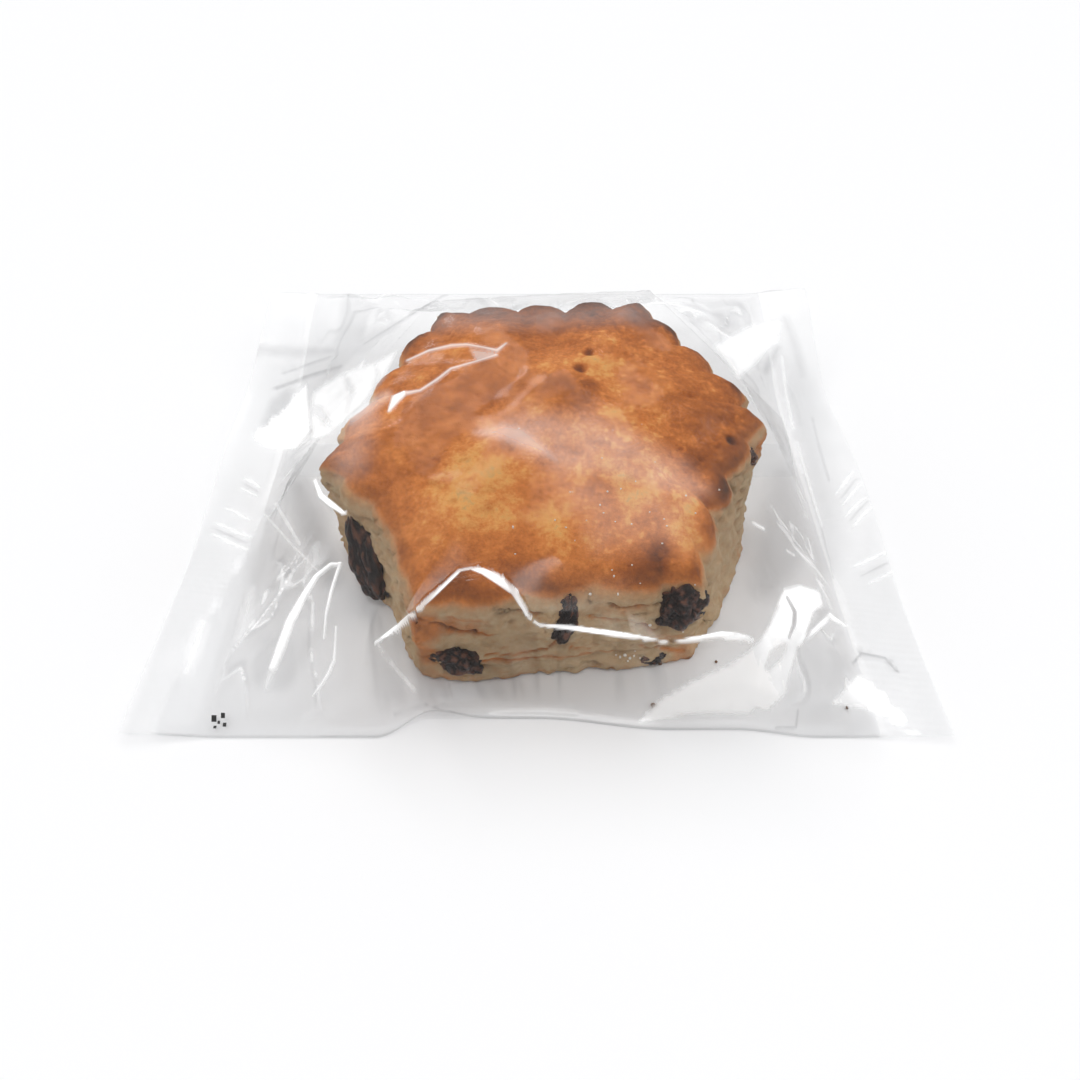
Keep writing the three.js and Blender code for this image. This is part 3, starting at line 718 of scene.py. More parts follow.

# What shows on the film, as lines and outlines in pixels of the photograph; on_film() lays them on
# the film: painted highlights here, painted shade below. A line's points are u, v and half width.
# Each line is (strength, blur in millimetres, height of its ridge in millimetres, points), each patch
# (strength, blur, corners).
PAINTED_HIGHLIGHTS = [
    # the fold along the brim, from the left over the scone's front to the right
    (0.95, 0.15, 0.0, [(375, 643, 1), (400, 625, 2.4), (430, 598, 2.1), (460, 570, 1.2),
        (471, 568, 1.3), (483, 571, 3), (500, 580, 4.8), (515, 592, 3.5), (528, 616, 1.5),
        (539, 625, 1.2), (573, 628, 2.3), (617, 634, 2.5), (650, 639, 1.5), (671, 643, 0.8)]),
    (0.95, 0.15, 0.0, [(671, 643, 0.8), (704, 637, 2.2), (722, 635, 3.6), (738, 637, 4),
        (752, 640, 2)]),
    (0.40, 0.50, 0.2, [(376, 643, 1), (395, 668, 1.5), (414, 690, 2)]),
    # the loop at the left front
    (0.40, 0.60, 0.2, [(266, 688, 1), (273, 669, 3)]),
    (0.90, 0.30, 0.4, [(273, 669, 3.2), (281, 648, 4), (290, 622, 3.6), (304, 596, 2.6),
        (316, 577, 1.8), (331, 565, 1.4), (340, 565, 1.2)]),
    (0.75, 0.15, 0.3, [(340, 565, 1.3), (337, 573, 1.2), (331, 592, 1.1), (326, 614, 0.9),
        (324, 639, 0.5)]),
    (0.70, 0.20, 0.3, [(336, 627, 0.4), (335, 645, 0.6), (334, 661, 1), (329, 673, 1.3),
        (321, 686, 0.9), (313, 696, 0.5)]),
    # soft painted highlights by the left seal
    (0.34, 1.50, 0.1, [(204, 622, 1.5), (196, 645, 3.5), (186, 672, 1.5)]),
    (0.30, 1.50, 0.1, [(252, 590, 1.5), (247, 612, 3), (240, 641, 1)]),
    # short folds across the left seal's inner side
    (0.40, 0.25, 0.2, [(243, 477, 0.4), (252, 482, 1.2), (260, 487, 0.4)]),
    (0.35, 0.25, 0.2, [(241, 487, 0.4), (249, 492, 1), (257, 496, 0.4)]),
    (0.38, 0.25, 0.2, [(228, 508, 0.4), (238, 514, 1.3), (249, 519, 0.4)]),
    (0.38, 0.25, 0.2, [(216, 523, 0.4), (232, 530, 1.2), (248, 537, 0.4)]),
    (0.40, 0.25, 0.2, [(211, 533, 0.4), (229, 542, 1.5), (246, 549, 0.4)]),
    (0.35, 0.25, 0.1, [(265, 515, 0.8), (292, 545, 1.1), (319, 572, 0.6)]),
    # where the film touches the scone's left corner
    (0.90, 0.15, 0.1, [(315, 481, 1.2), (321, 496, 2.4), (331, 504, 2.8), (343, 513, 1.8)]),
    (0.40, 0.40, 0.1, [(276, 504, 1), (300, 545, 1.2)]),
    # two long folds over the top's left
    (0.44, 0.28, 0.2, [(407, 361, 0.8), (429, 351, 1.2), (451, 346, 1.4), (467, 345, 1.2),
        (484, 348, 0.9), (497, 351, 1.7), (507, 343, 0.6)]),
    (0.80, 0.28, 0.2, [(389, 411, 1), (396, 399, 4), (404, 394, 2.2)]),
    (0.46, 0.28, 0.2, [(404, 394, 2), (420, 391, 1.1), (437, 380, 1.2), (451, 369, 1.1),
        (475, 362, 0.8), (497, 355, 1.3)]),
    (0.22, 1.20, 0.0, [(352, 418, 4), (370, 405, 5), (387, 396, 4)]),
    # the right seal's folds
    (0.90, 0.20, 0.2, [(798, 645, 2), (815, 630, 2.5), (829, 616, 2.5)]),
    (0.80, 0.15, 0.2, [(829, 616, 2.2), (844, 625, 0.9)]),
    (0.24, 0.40, 0.2, [(782, 357, 0.6), (786, 392, 1), (793, 429, 0.8)]),
    (0.22, 0.60, 0.2, [(797, 443, 1.2), (808, 480, 1.8), (822, 527, 1)]),
    (0.55, 0.25, 0.1, [(753, 523, 0.9), (764, 529, 1)]),
    (0.40, 0.25, 0.1, [(787, 551, 0.8), (795, 556, 0.8)]),
    # short folds across the right seal's inner side
    (0.40, 0.25, 0.2, [(838, 492, 0.4), (846, 481, 1.3), (854, 470, 0.4)]),
    (0.35, 0.25, 0.2, [(843, 505, 0.4), (851, 495, 1.2), (860, 484, 0.4)]),
    (0.40, 0.25, 0.2, [(846, 516, 0.4), (855, 506, 1.4), (865, 497, 0.4)]),
    (0.38, 0.25, 0.2, [(853, 527, 0.4), (862, 516, 1.3), (872, 506, 0.4)]),
    (0.38, 0.25, 0.2, [(853, 567, 0.4), (873, 558, 1.5), (893, 548, 0.4)]),
    (0.32, 0.25, 0.2, [(868, 584, 0.4), (888, 574, 1.3), (906, 566, 0.4)]),
    # the front fold
    (0.18, 1.40, 0.1, [(440, 700, 2), (500, 706, 3), (573, 712, 2)]),
]
PAINTED_HIGHLIGHT_PATCHES = [
    # the great leaf of painted highlight at the right front
    (0.88, 0.45, [(640, 721), (662, 699), (694, 681), (727, 666), (748, 653), (761, 640), (770, 625),
        (779, 603), (784, 590), (800, 586), (819, 592), (822, 604), (812, 612), (804, 640), (797, 647),
        (790, 670), (784, 694), (770, 707), (731, 711), (683, 715)]),
    # the triangle of painted highlight in the right front corner
    (0.80, 0.40, [(831, 704), (859, 676), (874, 688), (896, 712), (914, 735), (889, 716), (857, 705)]),
    # painted highlights at the left back and the right back
    (0.80, 0.45, [(306, 385), (286, 409), (254, 437), (268, 446), (295, 448), (309, 432)]),
    (0.48, 0.70, [(313, 392), (345, 372), (378, 362), (396, 352), (384, 376), (366, 398), (344, 419),
        (328, 434), (312, 438)]),
    # the bright painted highlight at the tip of the painted reflection on the top
    (0.13, 0.90, [(474, 433), (503, 423), (522, 429), (545, 446), (556, 460), (530, 449), (505, 440)]),
    (0.55, 0.90, [(716, 346), (747, 328), (778, 323), (776, 340), (766, 352), (755, 364), (739, 376),
        (728, 360)]),
    # between the two folds over the top's left
    (0.25, 0.40, [(470, 349), (497, 352), (494, 358), (476, 361)]),
]
# What stays clear inside the painted highlight patches, as lines of (strength, blur, points).
GAPS = [
    (0.16, 0.60, [(690, 699, 2), (715, 691, 5), (745, 688, 6), (768, 697, 3)]),
    (0.85, 0.55, [(768, 667, 4), (776, 655, 8), (784, 646, 4)]),
    (1.00, 0.20, [(787, 597, 1.3), (795, 612, 2.2), (794, 625, 2.2), (789, 638, 1.3)]),
    (1.00, 0.30, [(804, 642, 1), (811, 628, 2.4), (824, 613, 5)]),
    (0.70, 0.20, [(778, 596, 1.5), (782, 591, 1.5)]),
    (0.60, 0.60, [(318, 410, 6), (328, 424, 5)]),
    (0.70, 0.80, [(344, 374, 1.5), (352, 392, 3), (346, 412, 1.5)]),
    (0.60, 0.80, [(374, 362, 1), (378, 376, 2.5), (372, 392, 1)]),
    (0.60, 0.60, [(772, 344, 2), (764, 360, 3)]),
]
# Painted shade on the flanks of the folds and in broader patches, laid as in PAINTED_HIGHLIGHTS.
PAINTED_SHADE_LINES = [
    (0.24, 0.80, 0.1, [(245, 350, 6), (300, 352, 5), (359, 350, 1)]),
    (0.42, 0.30, 0.2, [(277, 388, 2), (310, 376, 1.8), (341, 367, 2)]),
    (0.32, 0.30, 0.2, [(284, 373, 1), (331, 357, 1)]),
    (0.30, 0.80, 0.0, [(268, 425, 7), (280, 405, 10), (288, 392, 4)]),
    (0.36, 0.30, 0.2, [(365, 344, 1.3), (400, 322, 1.3), (448, 293, 1)]),
    (0.22, 1.20, 0.1, [(268, 512, 4), (307, 548, 6)]),
    (0.16, 3.00, 0.0, [(285, 530, 12), (295, 585, 10)]),
    (0.35, 0.15, 0.0, [(313, 485, 0.8), (319, 498, 0.8), (332, 509, 0.8)]),
    (0.35, 0.20, 0.0, [(787, 597, 1), (795, 612, 1.7), (794, 625, 1.7), (789, 638, 1)]),
    (0.18, 0.40, 0.0, [(804, 642, 1), (811, 628, 2), (824, 613, 5)]),
    (0.48, 0.20, 0.2, [(853, 664, 1.1), (861, 653, 1.1), (885, 658, 1.1), (898, 672, 1.1)]),
    (0.12, 3.00, 0.0, [(812, 655, 12), (805, 700, 16), (850, 722, 10)]),
    (0.48, 2.50, 0.0, [(298, 488, 12), (312, 530, 16), (330, 575, 9)]),
    (0.08, 3.00, 0.0, [(262, 560, 14), (285, 600, 14), (300, 655, 12)]),
    (0.32, 2.50, 0.0, [(783, 480, 12), (782, 545, 26), (768, 584, 16)]),
    (0.16, 3.00, 0.0, [(800, 390, 14), (812, 470, 14), (826, 560, 14)]),
    (0.30, 0.25, 0.0, [(241, 482, 0.4), (250, 487, 1.2), (259, 492, 0.4)]),
    (0.30, 0.25, 0.0, [(213, 528, 0.4), (231, 536, 1.2), (247, 543, 0.4)]),
    (0.30, 0.25, 0.0, [(841, 498, 0.4), (849, 488, 1.1), (857, 477, 0.4)]),
    (0.30, 0.25, 0.0, [(850, 521, 0.4), (858, 511, 1.1), (868, 501, 0.4)]),
    (0.28, 0.25, 0.0, [(861, 576, 0.4), (881, 566, 1.3), (899, 557, 0.4)]),
    (0.32, 0.80, 0.0, [(778, 347, 2), (772, 358, 4), (766, 370, 3)]),
    (0.20, 0.80, 0.1, [(785, 318, 3), (795, 345, 4), (803, 376, 4)]),
    (0.24, 0.80, 0.1, [(789, 387, 3), (796, 405, 4), (801, 425, 4)]),
    (0.32, 0.30, 0.1, [(812, 418, 1.4), (820, 450, 1.4), (829, 481, 1.2)]),
    (0.42, 0.20, 0.2, [(804, 475, 0.8), (822, 531, 0.8), (833, 578, 0.8)]),
    (0.35, 0.20, 0.1, [(394, 714, 0.8), (409, 708, 0.8), (424, 704, 0.8), (454, 715, 0.8)]),
    (0.35, 0.20, 0.1, [(776, 727, 0.9), (796, 727, 0.9), (798, 710, 0.9)]),
]
# Painted reflection: a faint haze where the film lies close over the crust: strength, blur, corners.
PAINTED_REFLECTIONS = [
    (0.12, 3.0, [(480, 431), (527, 413), (590, 416), (627, 432), (652, 446), (684, 466), (706, 490),
        (690, 500), (640, 488), (600, 474), (565, 474), (527, 454)]),
    (0.07, 4.5, [(560, 480), (640, 478), (690, 500), (680, 545), (600, 545)]),
    (0.12, 2.0, [(345, 402), (368, 396), (380, 420), (362, 442), (340, 440)]),
    (0.10, 3.0, [(330, 452), (352, 430), (370, 440), (362, 470), (340, 478)]),
    (0.08, 2.0, [(405, 330), (455, 308), (520, 308), (650, 300), (670, 320), (560, 326), (440, 330)]),
]


def front_edge(x):
    """The bag's front fold, drawn in where the scone holds the film up."""
    return -HALF_DEPTH + 3.2 * smooth((x + 24) / 8) * (1 - 0.6 * smooth(x / 20)) * smooth((42 - x) / 12)


def sealed_share(x, y):
    """1 on the two crimped seals. The left one curls under towards the front and looks narrower."""
    start = HALF_LENGTH - SEAL + np.where(x < 0, 5.5 * smooth((-y - 5) / 50), 0)
    return smooth((np.abs(x) - start) / 1.2)


def to_rectangle(x, angle):
    """Reach from the scone's middle to the seals and the front and back folds in a direction."""
    c, s = np.cos(angle), np.sin(angle)
    c = np.where(np.abs(c) < 1e-9, 1e-9, c)
    s = np.where(np.abs(s) < 1e-9, 1e-9, s)
    along_x = (np.sign(c) * (HALF_LENGTH - SEAL) - SCONE_AT[0]) / c
    edge = np.where(s > 0, HALF_DEPTH - FOLD, front_edge(x) + FOLD)
    return np.minimum(along_x, (edge - SCONE_AT[1]) / s)


def edge_lift(x, y):
    """How far the bag's back and its ends rise off the table."""
    back = BACK_LIFT * smooth((y - 18) / (HALF_DEPTH - 18))
    end = np.abs(x) / HALF_LENGTH
    wave = 0.5 + 0.5 * np.sin(0.085 * y + np.where(x < 0, 0.4, 1.5))
    curl = END_LIFT * smooth((end - 0.75) / 0.25) * wave
    near = smooth((np.hypot(x - SCONE_AT[0], y - SCONE_AT[1]) - 44) / 14)
    return (back + curl * (1 - 0.6 * smooth((-y - 20) / 25))) * near


def crinkle(x, y, size, seed):
    """Flat facets between sharp folds, from crossed folds in a few directions."""
    points = np.stack([x, y, 0 * x], axis=-1)
    wx, wy = (size * 0.7 * noise(points, size * 2.2, seed + k) for k in (0, 1))
    total = 0.0
    for k in range(4):
        turn = 0.6 + 0.83 * k + seed
        width = size * (1 + 0.37 * k)
        along = ((x + wx) * math.cos(turn) + (y + wy) * math.sin(turn)) / width + 0.31 * k
        total = total + width * np.abs(along - np.round(along))
    return total / 4 - 0.17 * size


def crust_height(r, angle, dx, dy):
    """Height of the scone's crust under the film."""
    wide = wall_reach(angle, 1)
    top = top_height(dx, dy, np.minimum(1, r / wide))
    past = np.clip((r - (wide - SHOULDER_WIDTH)) / SHOULDER_WIDTH, 0, 1)
    return np.where(r > wide, -9.0, top - SHOULDER_HEIGHT * (1 - np.sqrt(1 - past**2)))


def film_height(x, y):
    """Height of the upper film: a lid over the scone, a rim round it, and a skirt down to the edges."""
    dx, dy = x - SCONE_AT[0], y - SCONE_AT[1]
    r, angle = np.hypot(dx, dy), np.arctan2(dy, dx)
    degrees = np.degrees(angle) % 360
    natural = side_at(angle)[0] + LOBE_REACH + FILM_GAP - 0.6
    natural_high = edge_height(natural * np.sin(angle)) + SCONE_AT[2] - 0.3
    at, brim_reach, brim_height = np.array(BRIM).T
    share = smooth((degrees - BRIM_ENDS[0]) / 14) * smooth((BRIM_ENDS[1] - degrees) / 16)
    rim = mix(natural, np.interp(degrees, at, brim_reach), share)
    high = mix(natural_high, np.interp(degrees, at, brim_height), share)
    inner = to_rectangle(x, angle)
    rim = np.minimum(rim, inner - 3)

    part = np.minimum(1, r / natural)
    lid = top_height(dx, dy, part) + SCONE_AT[2] + LID_GAP * (1 - part**6)
    lid_end = edge_height(natural * np.sin(angle)) + SCONE_AT[2]
    beyond = np.clip((r - natural) / np.maximum(rim - natural, 0.5), 0, 1)
    drop = np.where(rim > natural, high - lid_end, 0)
    lid = np.where(r > natural, lid_end + drop * beyond, lid)
    slope = np.clip((r - rim) / (inner - rim), 0, 1)
    low = edge_lift(x, y) + SKIRT_FOOT
    power = mix(1.22, 0.82, share)
    skirt = mix(low, high, (1 - slope) ** power)
    height = np.where(r < rim, lid, skirt)
    near, out = np.maximum(r - 0.5, 0), np.maximum(r, 0.01)
    crust = crust_height(near, angle, dx * near / out, dy * near / out)
    height = np.maximum(height, crust + SCONE_AT[2] + LEAST_GAP)

    # Creases, most of all in the right front corner and at the left back.
    room = smooth(6 * slope * (1 - slope))
    corner = smooth((x - 22) / 14) * smooth((-y - 30) / 12)
    corner = corner + 0.7 * smooth((-x - 26) / 10) * smooth((y - 12) / 16)
    height = height + (0.28 + 0.9 * corner) * room * crinkle(x, y, 7.0, 5)
    height = height + 0.5 * (0.15 + corner) * room * crinkle(x, y, 3.0, 8)
    rays = np.abs(layered(np.stack([r * 0.22, angle * 30, 0 * r], axis=-1), 5.0, 3, 61))
    height = height + 1.3 * (0.28 - rays) * room
    height = height + 0.1 * crinkle(x, y, 13.0, 11) * smooth((0.98 - part) / 0.2)
    return np.maximum(height, np.maximum(crust + SCONE_AT[2] + CREASED_GAP, edge_lift(x, y) + LEAST_GAP))


def film_table():
    """Heights of the film at even steps, with room round the bag."""
    xs, ys = (np.arange(-reach, reach + 0.01, TABLE_STEP) for reach in TABLE_REACH)
    gx, gy = np.meshgrid(xs, ys, indexing="ij")
    high = film_height(gx.ravel(), gy.ravel()).reshape(gx.shape)
    return np.where((np.abs(gx) > HALF_LENGTH) | (np.abs(gy) > HALF_DEPTH), 0.0, high)


FILM_TABLE = film_table()


def in_table(x, y):
    """Height of the film between the places of the table."""
    i, j = (
        np.clip((at + reach) / TABLE_STEP, 0, count - 1.001)
        for at, reach, count in zip((x, y), TABLE_REACH, FILM_TABLE.shape)
    )
    a, b = i.astype(int), j.astype(int)
    front = mix(FILM_TABLE[a, b], FILM_TABLE[a + 1, b], i - a)
    back = mix(FILM_TABLE[a, b + 1], FILM_TABLE[a + 1, b + 1], i - a)
    return mix(front, back, j - b)


def cast(u, v):
    """Where the camera sees the film at pixels of the photograph, and how far away."""
    nearest, farthest, step = 85, 240, 0.25
    away = np.arange(nearest, farthest, step)
    at = EYE + away[:, None, None] * sight(u, v)
    below = at[..., 2] <= in_table(at[..., 0], at[..., 1])
    first = np.maximum(1, below.argmax(axis=0))
    each = np.arange(len(u))
    near, far = at[first - 1, each], at[first, each]
    over = near[:, 2] - in_table(near[:, 0], near[:, 1])
    under = in_table(far[:, 0], far[:, 1]) - far[:, 2]
    share = np.clip(over / np.maximum(over + under, 1e-6), 0, 1)
    return mix(near, far, share[:, None]), away[first]


def on_film(line):
    """Lays points that the camera sees, with half widths in pixels, on the film: x, y, half width."""
    u, v, wide = np.array(line, float).T
    hit, away = cast(u, v)
    return [(px, py, w * d / FOCAL) for (px, py, _), w, d in zip(hit, wide, away)]


def line_share(film, line, laid_line, blur):
    """How much each point of the film is in a line that the camera sees, with soft edges."""
    x, y, u, v = film
    near = to_line(x, y, laid_line)[0] < 6 + max(w for *_, w in laid_line)
    share = np.zeros(x.shape)
    d, w = to_line(u[near], v[near], line)
    share[near] = smooth(0.5 + (w - d) / (2 * blur * PIXELS))
    return share


def patch_share(film, corners, blur):
    """How much each point of the film is in a patch that the camera sees, with soft edges."""
    x, y, u, v = film
    spread = cast(*np.array(corners, float).T)[0][:, :2]
    (left, front), (right, back) = spread.min(axis=0) - 4, spread.max(axis=0) + 4
    near = (x > left) & (x < right) & (y > front) & (y < back)
    share = np.zeros(x.shape)
    share[near] = smooth(0.5 + inside_by(u[near], v[near], corners) / (2 * blur * PIXELS))
    return share


def film_points(lines):
    """Points in plan: an even grid, with finer rows along the seals' ribs and along narrow folds."""
    inner = HALF_LENGTH - SEAL
    widest = 6  # a line of a larger half width gets no rows of its own
    apart = 0.16  # the even grid keeps this far from the rows

    def across(step):
        return np.arange(-HALF_DEPTH, HALF_DEPTH + 0.01, step)

    grid = plan_grid(np.arange(-inner, inner + 0.01, MESH_STEP), across(MESH_STEP))
    left, right, back = FINE_FRONT
    grid = grid[(grid[:, 0] < left) | (grid[:, 0] > right) | (grid[:, 1] > back)]
    front = plan_grid(np.arange(left, right, FRONT_STEP), np.arange(-HALF_DEPTH, back, FRONT_STEP))
    grid = np.concatenate([grid, front])
    us, vs = [], []
    for blur, line in lines:
        for (au, av, aw), (bu, bv, bw) in zip(line, line[1:]):
            if min(aw, bw) > widest:
                continue
            length = math.hypot(bu - au, bv - av)
            nu, nv = -(bv - av) / length, (bu - au) / length
            edge = blur * PIXELS
            for t in np.arange(0, 1, 2.0 / length):
                pu, pv, w = mix(au, bu, t), mix(av, bv, t), mix(aw, bw, t)
                for off in (w + edge + 0.3, w, w * 0.45, max(0, w - edge) * 0.1):
                    us += [pu + nu * off, pu - nu * off]
                    vs += [pv + nv * off, pv - nv * off]
    rows = cast(np.array(us), np.array(vs))[0][:, :2]
    rows = rows[np.unique(np.round(rows / 0.06).astype(int), axis=0, return_index=True)[1]]
    keep = np.ones(len(grid), bool)
    for a in range(0, len(rows), 200):
        chunk = rows[a : a + 200]
        low, high = chunk.min(axis=0) - 1, chunk.max(axis=0) + 1
        near = np.nonzero(((grid > low) & (grid < high)).all(axis=1) & keep)[0]
        gap = np.hypot(*(grid[near, None] - chunk[None]).transpose(2, 0, 1)).min(axis=1)
        keep[near[gap < apart]] = False
    seal = np.linspace(inner + MESH_STEP, HALF_LENGTH, 8)
    ends = [plan_grid(side * seal, across(SEAL_STEP)) for side in (-1, 1)]
    points = np.concatenate([grid[keep], rows, *ends])
    inside = (np.abs(points[:, 0]) <= HALF_LENGTH) & (np.abs(points[:, 1]) <= HALF_DEPTH)
    return points[inside]


def triangles(points):
    """Joins points in plan into triangles: the points as they come out, and the faces."""
    found = delaunay_2d_cdt([Vector(p) for p in points], [], [], 0, 1e-4)
    return np.array([tuple(v) for v in found[0]]), [tuple(f) for f in found[2]]


def draw_in(points):
    """Moves the front edge's points back to the drawn-in fold."""
    x, y = points.T
    return np.stack([x, y + (front_edge(x) + HALF_DEPTH) * smooth((-y - 43.5) / 12)], axis=1)


def fold_highlights_and_shade(x, y):
    """Painted highlights on the crests and painted shade on the flanks of the many small folds between the
    scone and the bag's edges, with patches of painted shade among them.
    """
    dx, dy = x - SCONE_AT[0], y - SCONE_AT[1]
    r, angle = np.hypot(dx, dy), np.arctan2(dy, dx)
    rim = side_at(angle)[0] + LOBE_REACH + FILM_GAP
    inner = to_rectangle(x, angle)
    slope = np.clip((r - rim) / (inner - rim), 0, 1)
    room = smooth(5 * slope) * smooth(3.5 * (1 - slope)) * (r > rim)
    place = np.stack([x, y, 0 * x], axis=-1)
    wander = 0.12 * noise(place, 12.0, 71)
    rays = layered(np.stack([r * 0.14, (angle + wander) * 26, 0 * r], axis=-1), 5.0, 3, 61)
    crossing = layered(place * np.array([1.0, 0.55, 1.0]), 9.0, 3, 73)
    where = smooth((noise(place, 14.0, 75) + 0.35) / 0.7)
    where = where * (1 - 0.9 * smooth((-np.sin(angle) - 0.72) / 0.12))
    painted_highlight = 0.5 * bell(rays / 0.035) + 0.4 * bell(crossing / 0.02)
    painted_shade = 0.22 * bell((rays - 0.10) / 0.07)
    painted_shade = painted_shade + 0.2 * bell((crossing - 0.06) / 0.05)
    painted_shade = painted_shade + 0.16 * smooth((noise(place, 8.0, 77) - 0.1) / 0.6)
    return painted_highlight * where * room, painted_shade * room


def paint_film(obj, sealed, painted_highlight=0, painted_shade=0, painted_reflection=0):
    for name, values in (("sealed", sealed), ("painted_highlight", painted_highlight), ("painted_shade", painted_shade), ("painted_reflection", painted_reflection)):
        paint(obj, name, values + 0 * sealed)


def upper_film(film):
    """The upper film with its tent, folds and crimped ends, and the painted highlights, painted shade and
    painted reflection on it.
    """
    lines = PAINTED_HIGHLIGHTS + PAINTED_SHADE_LINES
    laid = [on_film(line) for *_, line in lines]
    flat, faces = triangles(film_points([(blur, line) for _, blur, _, line in lines]))
    x, y = draw_in(flat).T
    ends = sealed_share(x, y)
    ribs = RIB_HEIGHT * np.sin(TURN * (y + 0.6 * np.sin(x / 3)) / RIB_PITCH) * ends
    z = mix(film_height(x, y), edge_lift(x, y) + SEAL_HEIGHT + ribs, ends)
    painted_highlight, painted_shade = fold_highlights_and_shade(x, y)
    place = (x, y, *seen_at(np.stack([x, y, z], axis=-1)))
    for (strength, blur, ridge, line), laid_line in zip(PAINTED_HIGHLIGHTS, laid):
        share = line_share(place, line, laid_line, blur)
        painted_highlight = np.maximum(painted_highlight, strength * share)
        z = z + ridge * share * (1 - ends)
    for strength, blur, corners in PAINTED_HIGHLIGHT_PATCHES:
        painted_highlight = np.maximum(painted_highlight, strength * patch_share(place, corners, blur))
    for strength, blur, line in GAPS:
        painted_highlight = painted_highlight * (1 - strength * line_share(place, line, on_film(line), blur))
    for (strength, blur, ridge, line), laid_line in zip(PAINTED_SHADE_LINES, laid[len(PAINTED_HIGHLIGHTS) :]):
        share = line_share(place, line, laid_line, blur)
        painted_shade = np.maximum(painted_shade, strength * share)
        z = z + ridge * share * (1 - ends)
    painted_reflection = 0 * x
    for strength, blur, corners in PAINTED_REFLECTIONS:
        painted_reflection = np.maximum(painted_reflection, strength * patch_share(place, corners, blur))
    # Painted highlight along the inner edge of each seal.
    painted_highlight = np.maximum(painted_highlight, np.where(x < 0, 0.6, 0.65) * ends * (1 - ends))
    fold = smooth((np.abs(flat[:, 1]) - (HALF_DEPTH - FOLD)) / FOLD)
    raised_at, raised_wide, raised_high = RAISED_FOLD
    raised = raised_high * bell((x - raised_at) / raised_wide) * smooth((-y - 44) / 8)
    z = mix(z, edge_lift(x, y) + FOLD_HEIGHT + raised, fold * (1 - ends))
    # Painted shade along the bag's front and back folds.
    painted_shade = np.maximum(painted_shade, 0.3 * smooth((fold - 0.75) / 0.25) * (1 - ends))
    upper = make("film_upper", np.stack([x, y, z], axis=1), faces, film)
    paint_film(upper, ends, painted_highlight, painted_shade, painted_reflection)
    return upper


def lower_film(film):
    """The lower film, nearly flat on the table."""
    xs, ys = np.linspace(-HALF_LENGTH, HALF_LENGTH, 156), np.linspace(-HALF_DEPTH, HALF_DEPTH, 140)
    x, y = draw_in(plan_grid(xs, ys)).T
    z = edge_lift(x, y) + 0.09 + 0.07 * crinkle(x, y, 9.0, 21)
    points = np.stack([x, y, np.maximum(z, LOWER_FILM)], axis=1)
    lower = make("film_lower", points, grid_faces(len(ys), len(xs)), film)
    paint_film(lower, sealed_share(x, y))
    return lower


def back_seam(film):
    """The tube's long lap seam, folded flat under the bag."""
    end = HALF_LENGTH - SEAL - 0.2
    xs, ys = np.linspace(-end, end, 400), np.linspace(*BACK_SEAM, 9)
    x, y = plan_grid(xs, ys).T
    z = 0.05 + 0.03 * np.sin(TURN * x / RIB_PITCH) + edge_lift(x, y)
    seam = make("film_back_seam", np.stack([x, y, z], axis=1), grid_faces(len(ys), len(xs)), film)
    paint_film(seam, np.ones(len(x)))
    return seam


def bag():
    film = film_material()
    upper, lower, seam = upper_film(film), lower_film(film), back_seam(film)
    for obj in (upper, lower, seam):
        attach(obj, "root")
    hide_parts("bag")
    mark()


def mark():
    """A plain registration mark of five small squares, printed by the front fold."""
    points, faces = [], []
    for column, row, wide in MARK_SQUARES:
        half = wide * MARK_WIDTH / 2
        for sx, sy in ((-1, -1), (1, -1), (1, 1), (-1, 1)):
            x = MARK_AT[0] + column * MARK_PITCH + sx * half
            y = MARK_AT[1] + row * MARK_PITCH + sy * half
            points.append((x, y, film_height(np.array([x]), np.array([y]))[0] + MARK_LIFT))
        faces.append(tuple(range(len(points) - 4, len(points))))
    ink = plain_material("mark_ink", (0.03, 0.03, 0.03), 0.5)
    obj = make("registration_mark", points, faces, ink, flat=True)
    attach(obj, "root")


# ---------------------------------------------------------------- crumbs and sugar
def bits(name, spots, material, detail=2):
    """Small uneven grains joined into one mesh: x, y, z of the middle, and size."""
    base, faces = ball(detail)
    all_points, all_faces = [], []
    for i, (px, py, pz, size) in enumerate(spots):
        stretch = rng.uniform(0.6, 1.2, 3)
        shape = base * stretch * size / 2
        shape = shape * (1 + 0.25 * noise(base + 5 * i, 0.8, 80))[:, None]
        all_faces += [tuple(len(base) * i + v for v in f) for f in faces]
        all_points.append(shape + np.array([px, py, pz]))
    obj = make(name, np.concatenate(all_points), all_faces, material)
    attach(obj, "root")


# Loose crumbs on the lower film, in pixels of the photograph, with their size in millimetres.
DARK_CRUMBS = [(716, 662, 0.5), (732, 666, 0.5), (653, 706, 0.8), (697, 708, 0.6), (731, 705, 0.6),
               (847, 708, 0.5), (781, 606, 0.6), (643, 660, 0.7), (660, 664, 0.8)]
PALE_CRUMBS = [(622, 660, 0.8), (629, 658, 0.7), (634, 662, 0.9), (639, 657, 0.6), (615, 657, 0.6)]
# Bright grains on the crust and its front wall, in pixels too.
SUGAR = [(590, 594, 0.55), (618, 594, 0.45), (650, 625, 0.55), (635, 651, 0.4), (632, 565, 0.4),
         (612, 570, 0.35), (616, 655, 0.4), (620, 657, 0.5), (625, 655, 0.6), (628, 661, 0.5),
         (630, 658, 0.5), (634, 656, 0.55), (640, 658, 0.45), (614, 576, 0.4), (513, 527, 0.5),
         (685, 612, 0.35), (683, 632, 0.35), (555, 520, 0.3), (600, 505, 0.35)]
CRUMBS_BEHIND, SCATTERED_SUGAR = 9, 26  # how many more lie behind the scone and on its top
SUGAR_AROUND, SUGAR_SPREAD = (620, 520), (60, 45)  # the scattered grains, in pixels


